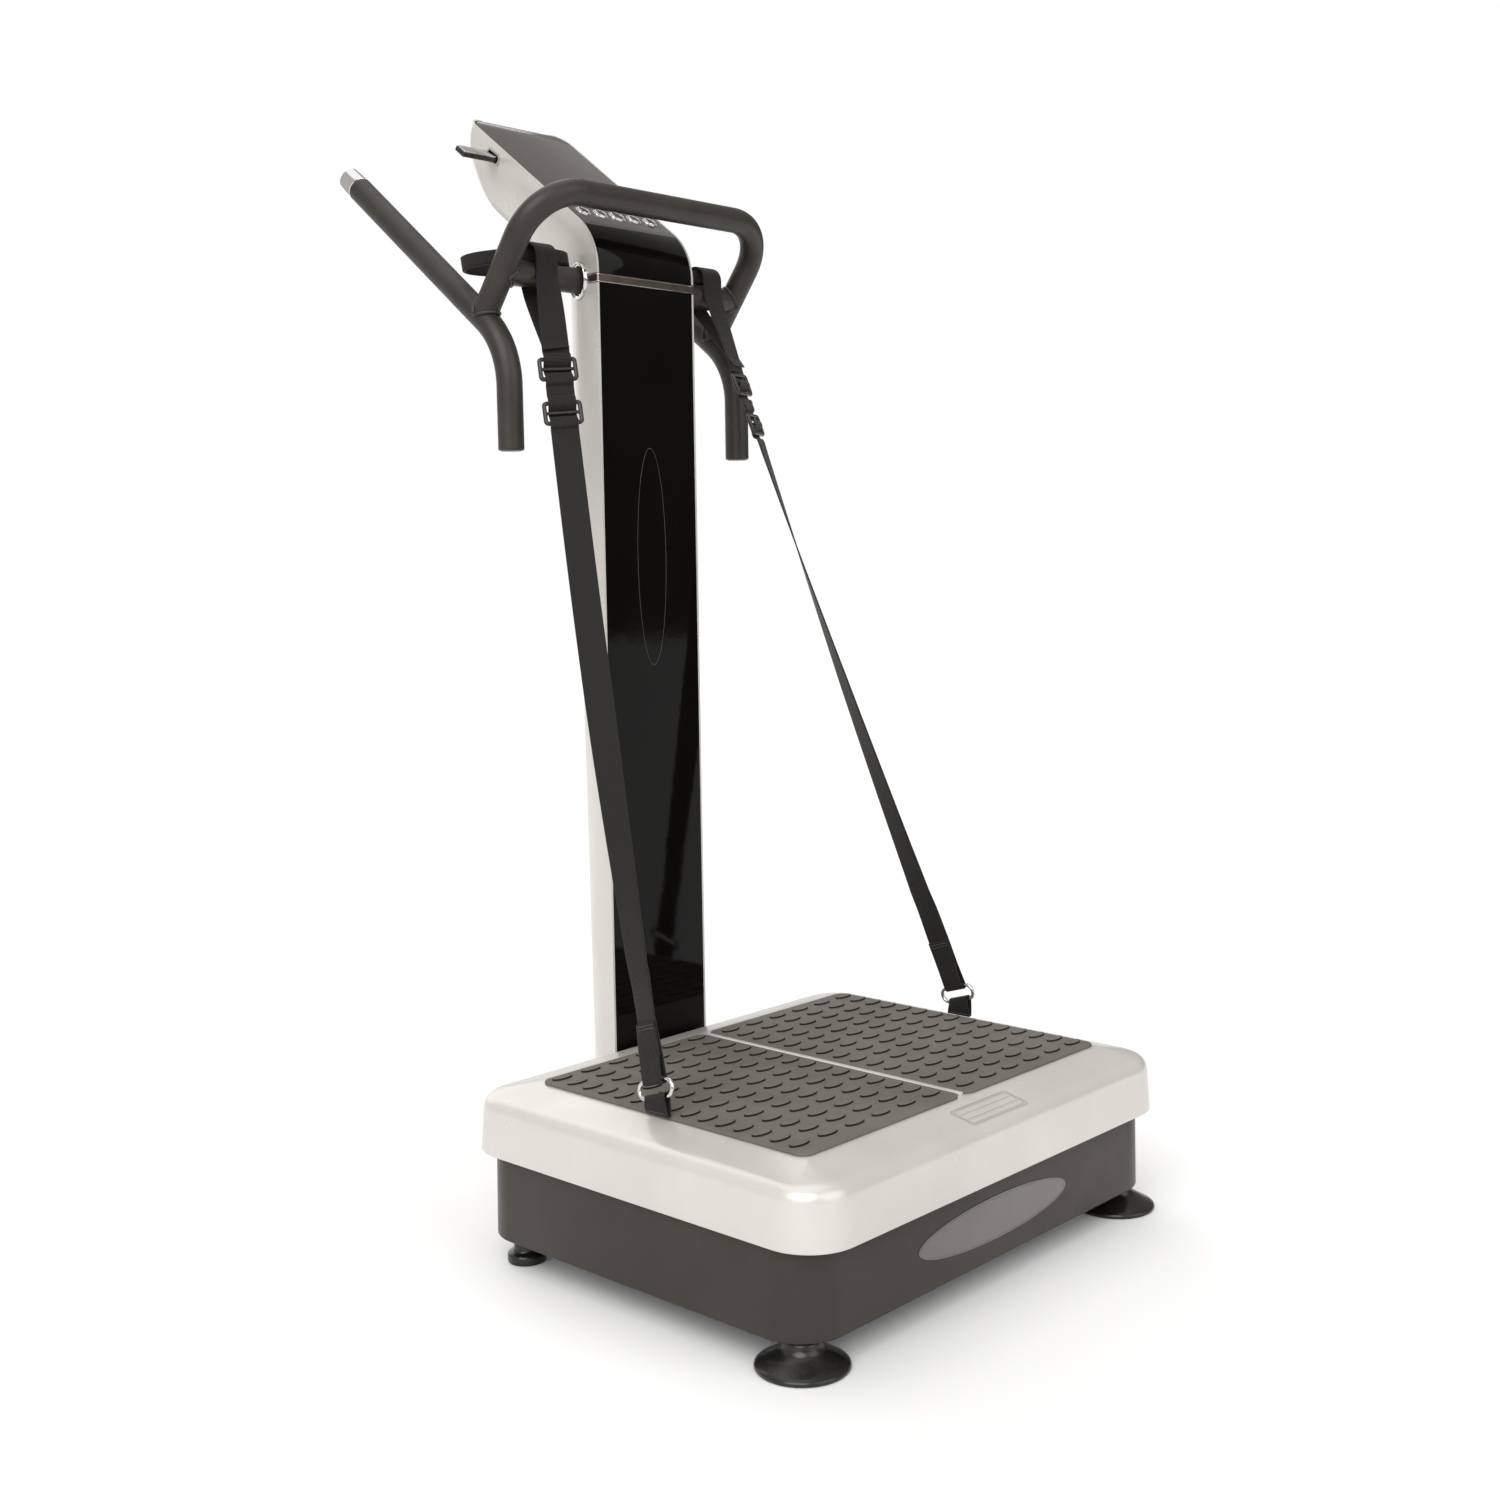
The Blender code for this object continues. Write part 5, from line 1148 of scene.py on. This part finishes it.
def make_rear_details():
    """Three blades in the mains inlet."""
    for index, (x, z) in enumerate(((-0.0065, -0.001), (0.0065, -0.001), (0.0, 0.0022))):
        at = Matrix.Translation((INLET_X + x, 0.0597, INLET_Z + z))
        blade = block("inlet_blade_%d" % (index + 1), (0.0018, 0.012, 0.004), at, "steel", 0.0003)
        place(blade, "base", "steel")


# ---- stage, light, camera

def make_stage():
    """Pale floor, a graded sky that the camera sees as white, and four wide suns."""
    bm = bmesh.new()
    bmesh.ops.create_circle(bm, cap_ends=True, segments=128, radius=14.0)
    bmesh.ops.translate(bm, vec=(0, 0, -0.0002), verts=bm.verts)
    MATS["floor"] = finish("pale_floor", (0.86, 0.86, 0.86), (0.88, 0.88, 0.88), (0.7, 0.8), 4, 0.00001,
        patch=0.5, Specular_IOR_Level=0.1)
    as_object("floor", bm, "floor")
    bpy.context.scene.view_settings.view_transform = "Standard"
    world = bpy.data.worlds.new("studio")
    bpy.context.scene.world = world
    world.use_nodes = True
    tree = world.node_tree
    room = tree.nodes["Background"]
    room.inputs["Strength"].default_value = 0.62
    where = tree.nodes.new("ShaderNodeTexCoord")
    split = tree.nodes.new("ShaderNodeVectorMath")
    split.operation = "DOT_PRODUCT"
    split.inputs[1].default_value = (-0.62, 0.4, 0.68)
    shift = node(tree, "ShaderNodeMapRange", From_Min=-0.9, From_Max=1.0, To_Min=0.0, To_Max=1.0)
    ramp = tree.nodes.new("ShaderNodeValToRGB")
    stops = ramp.color_ramp.elements
    stops[0].position, stops[0].color = 0.0, (0.06, 0.058, 0.056, 1)
    stops[1].position, stops[1].color = 0.75, (1.0, 0.985, 0.96, 1)
    seen = node(tree, "ShaderNodeBackground", Strength=1.0, Color=(1, 1, 1, 1))
    path = tree.nodes.new("ShaderNodeLightPath")
    mix = tree.nodes.new("ShaderNodeMixShader")
    for source, target in ((where.outputs["Generated"], split.inputs[0]),
                           (split.outputs["Value"], shift.inputs["Value"]),
                           (shift.outputs["Result"], ramp.inputs["Fac"]),
                           (ramp.outputs["Color"], room.inputs["Color"]),
                           (path.outputs["Is Camera Ray"], mix.inputs[0]),
                           (room.outputs[0], mix.inputs[1]),
                           (seen.outputs[0], mix.inputs[2]),
                           (mix.outputs[0], tree.nodes["World Output"].inputs["Surface"])):
        tree.links.new(source, target)
    for name, spot, power in (("key", (-2.4, -1.2, 2.6), 2.0), ("front", (0.6, -3.4, 2.2), 0.9),
                              ("top", (0.2, 0.6, 3.4), 0.5), ("back", (1.0, 3.0, 2.2), 0.6)):
        light = bpy.data.lights.new(name, "SUN")
        light.angle = SUN_ANGLE
        light.energy = power
        obj = bpy.data.objects.new(name, light)
        obj.location = spot
        obj.rotation_euler = (Vector((0, -0.05, 0.55)) - Vector(spot)).to_track_quat("-Z", "Y").to_euler()
        bpy.context.scene.collection.objects.link(obj)


def make_camera():
    """Camera at the eye of the reference view."""
    right = Vector((0.6762, -0.7365, -0.0144)).normalized()
    ahead = Vector((0.7312, 0.6735, -0.1085)).normalized()
    up = right.cross(ahead).normalized()
    right = ahead.cross(up).normalized()
    pose = Matrix((right, up, -ahead)).transposed().to_4x4()
    pose.translation = EYE
    data = bpy.data.cameras.new("camera")
    data.lens = LENS
    data.sensor_width = 36.0
    camera = bpy.data.objects.new("camera", data)
    camera.matrix_world = pose
    bpy.context.scene.collection.objects.link(camera)
    bpy.context.scene.camera = camera


def main():
    """Builds every visible piece round the frame."""
    make_camera()
    make_stage()
    make_cover()
    make_mat("left", -1, 0.0098)
    make_mat("right", 1, 0.0046)
    make_deck_rib()
    make_base_shell()
    make_marks()
    make_feet()
    make_column()
    make_trim()
    make_console()
    make_buttons()
    make_usb()
    make_handlebar()
    for side, sign in SIDES:
        make_strap(side, sign)
        for number, height in enumerate(BUCKLE_Z, 1):
            make_buckle(side, sign, number, height)
        make_ring_and_anchor(side, sign)
        make_hand_loop(side, sign)
    dress_cad()
    make_rear_details()


main()
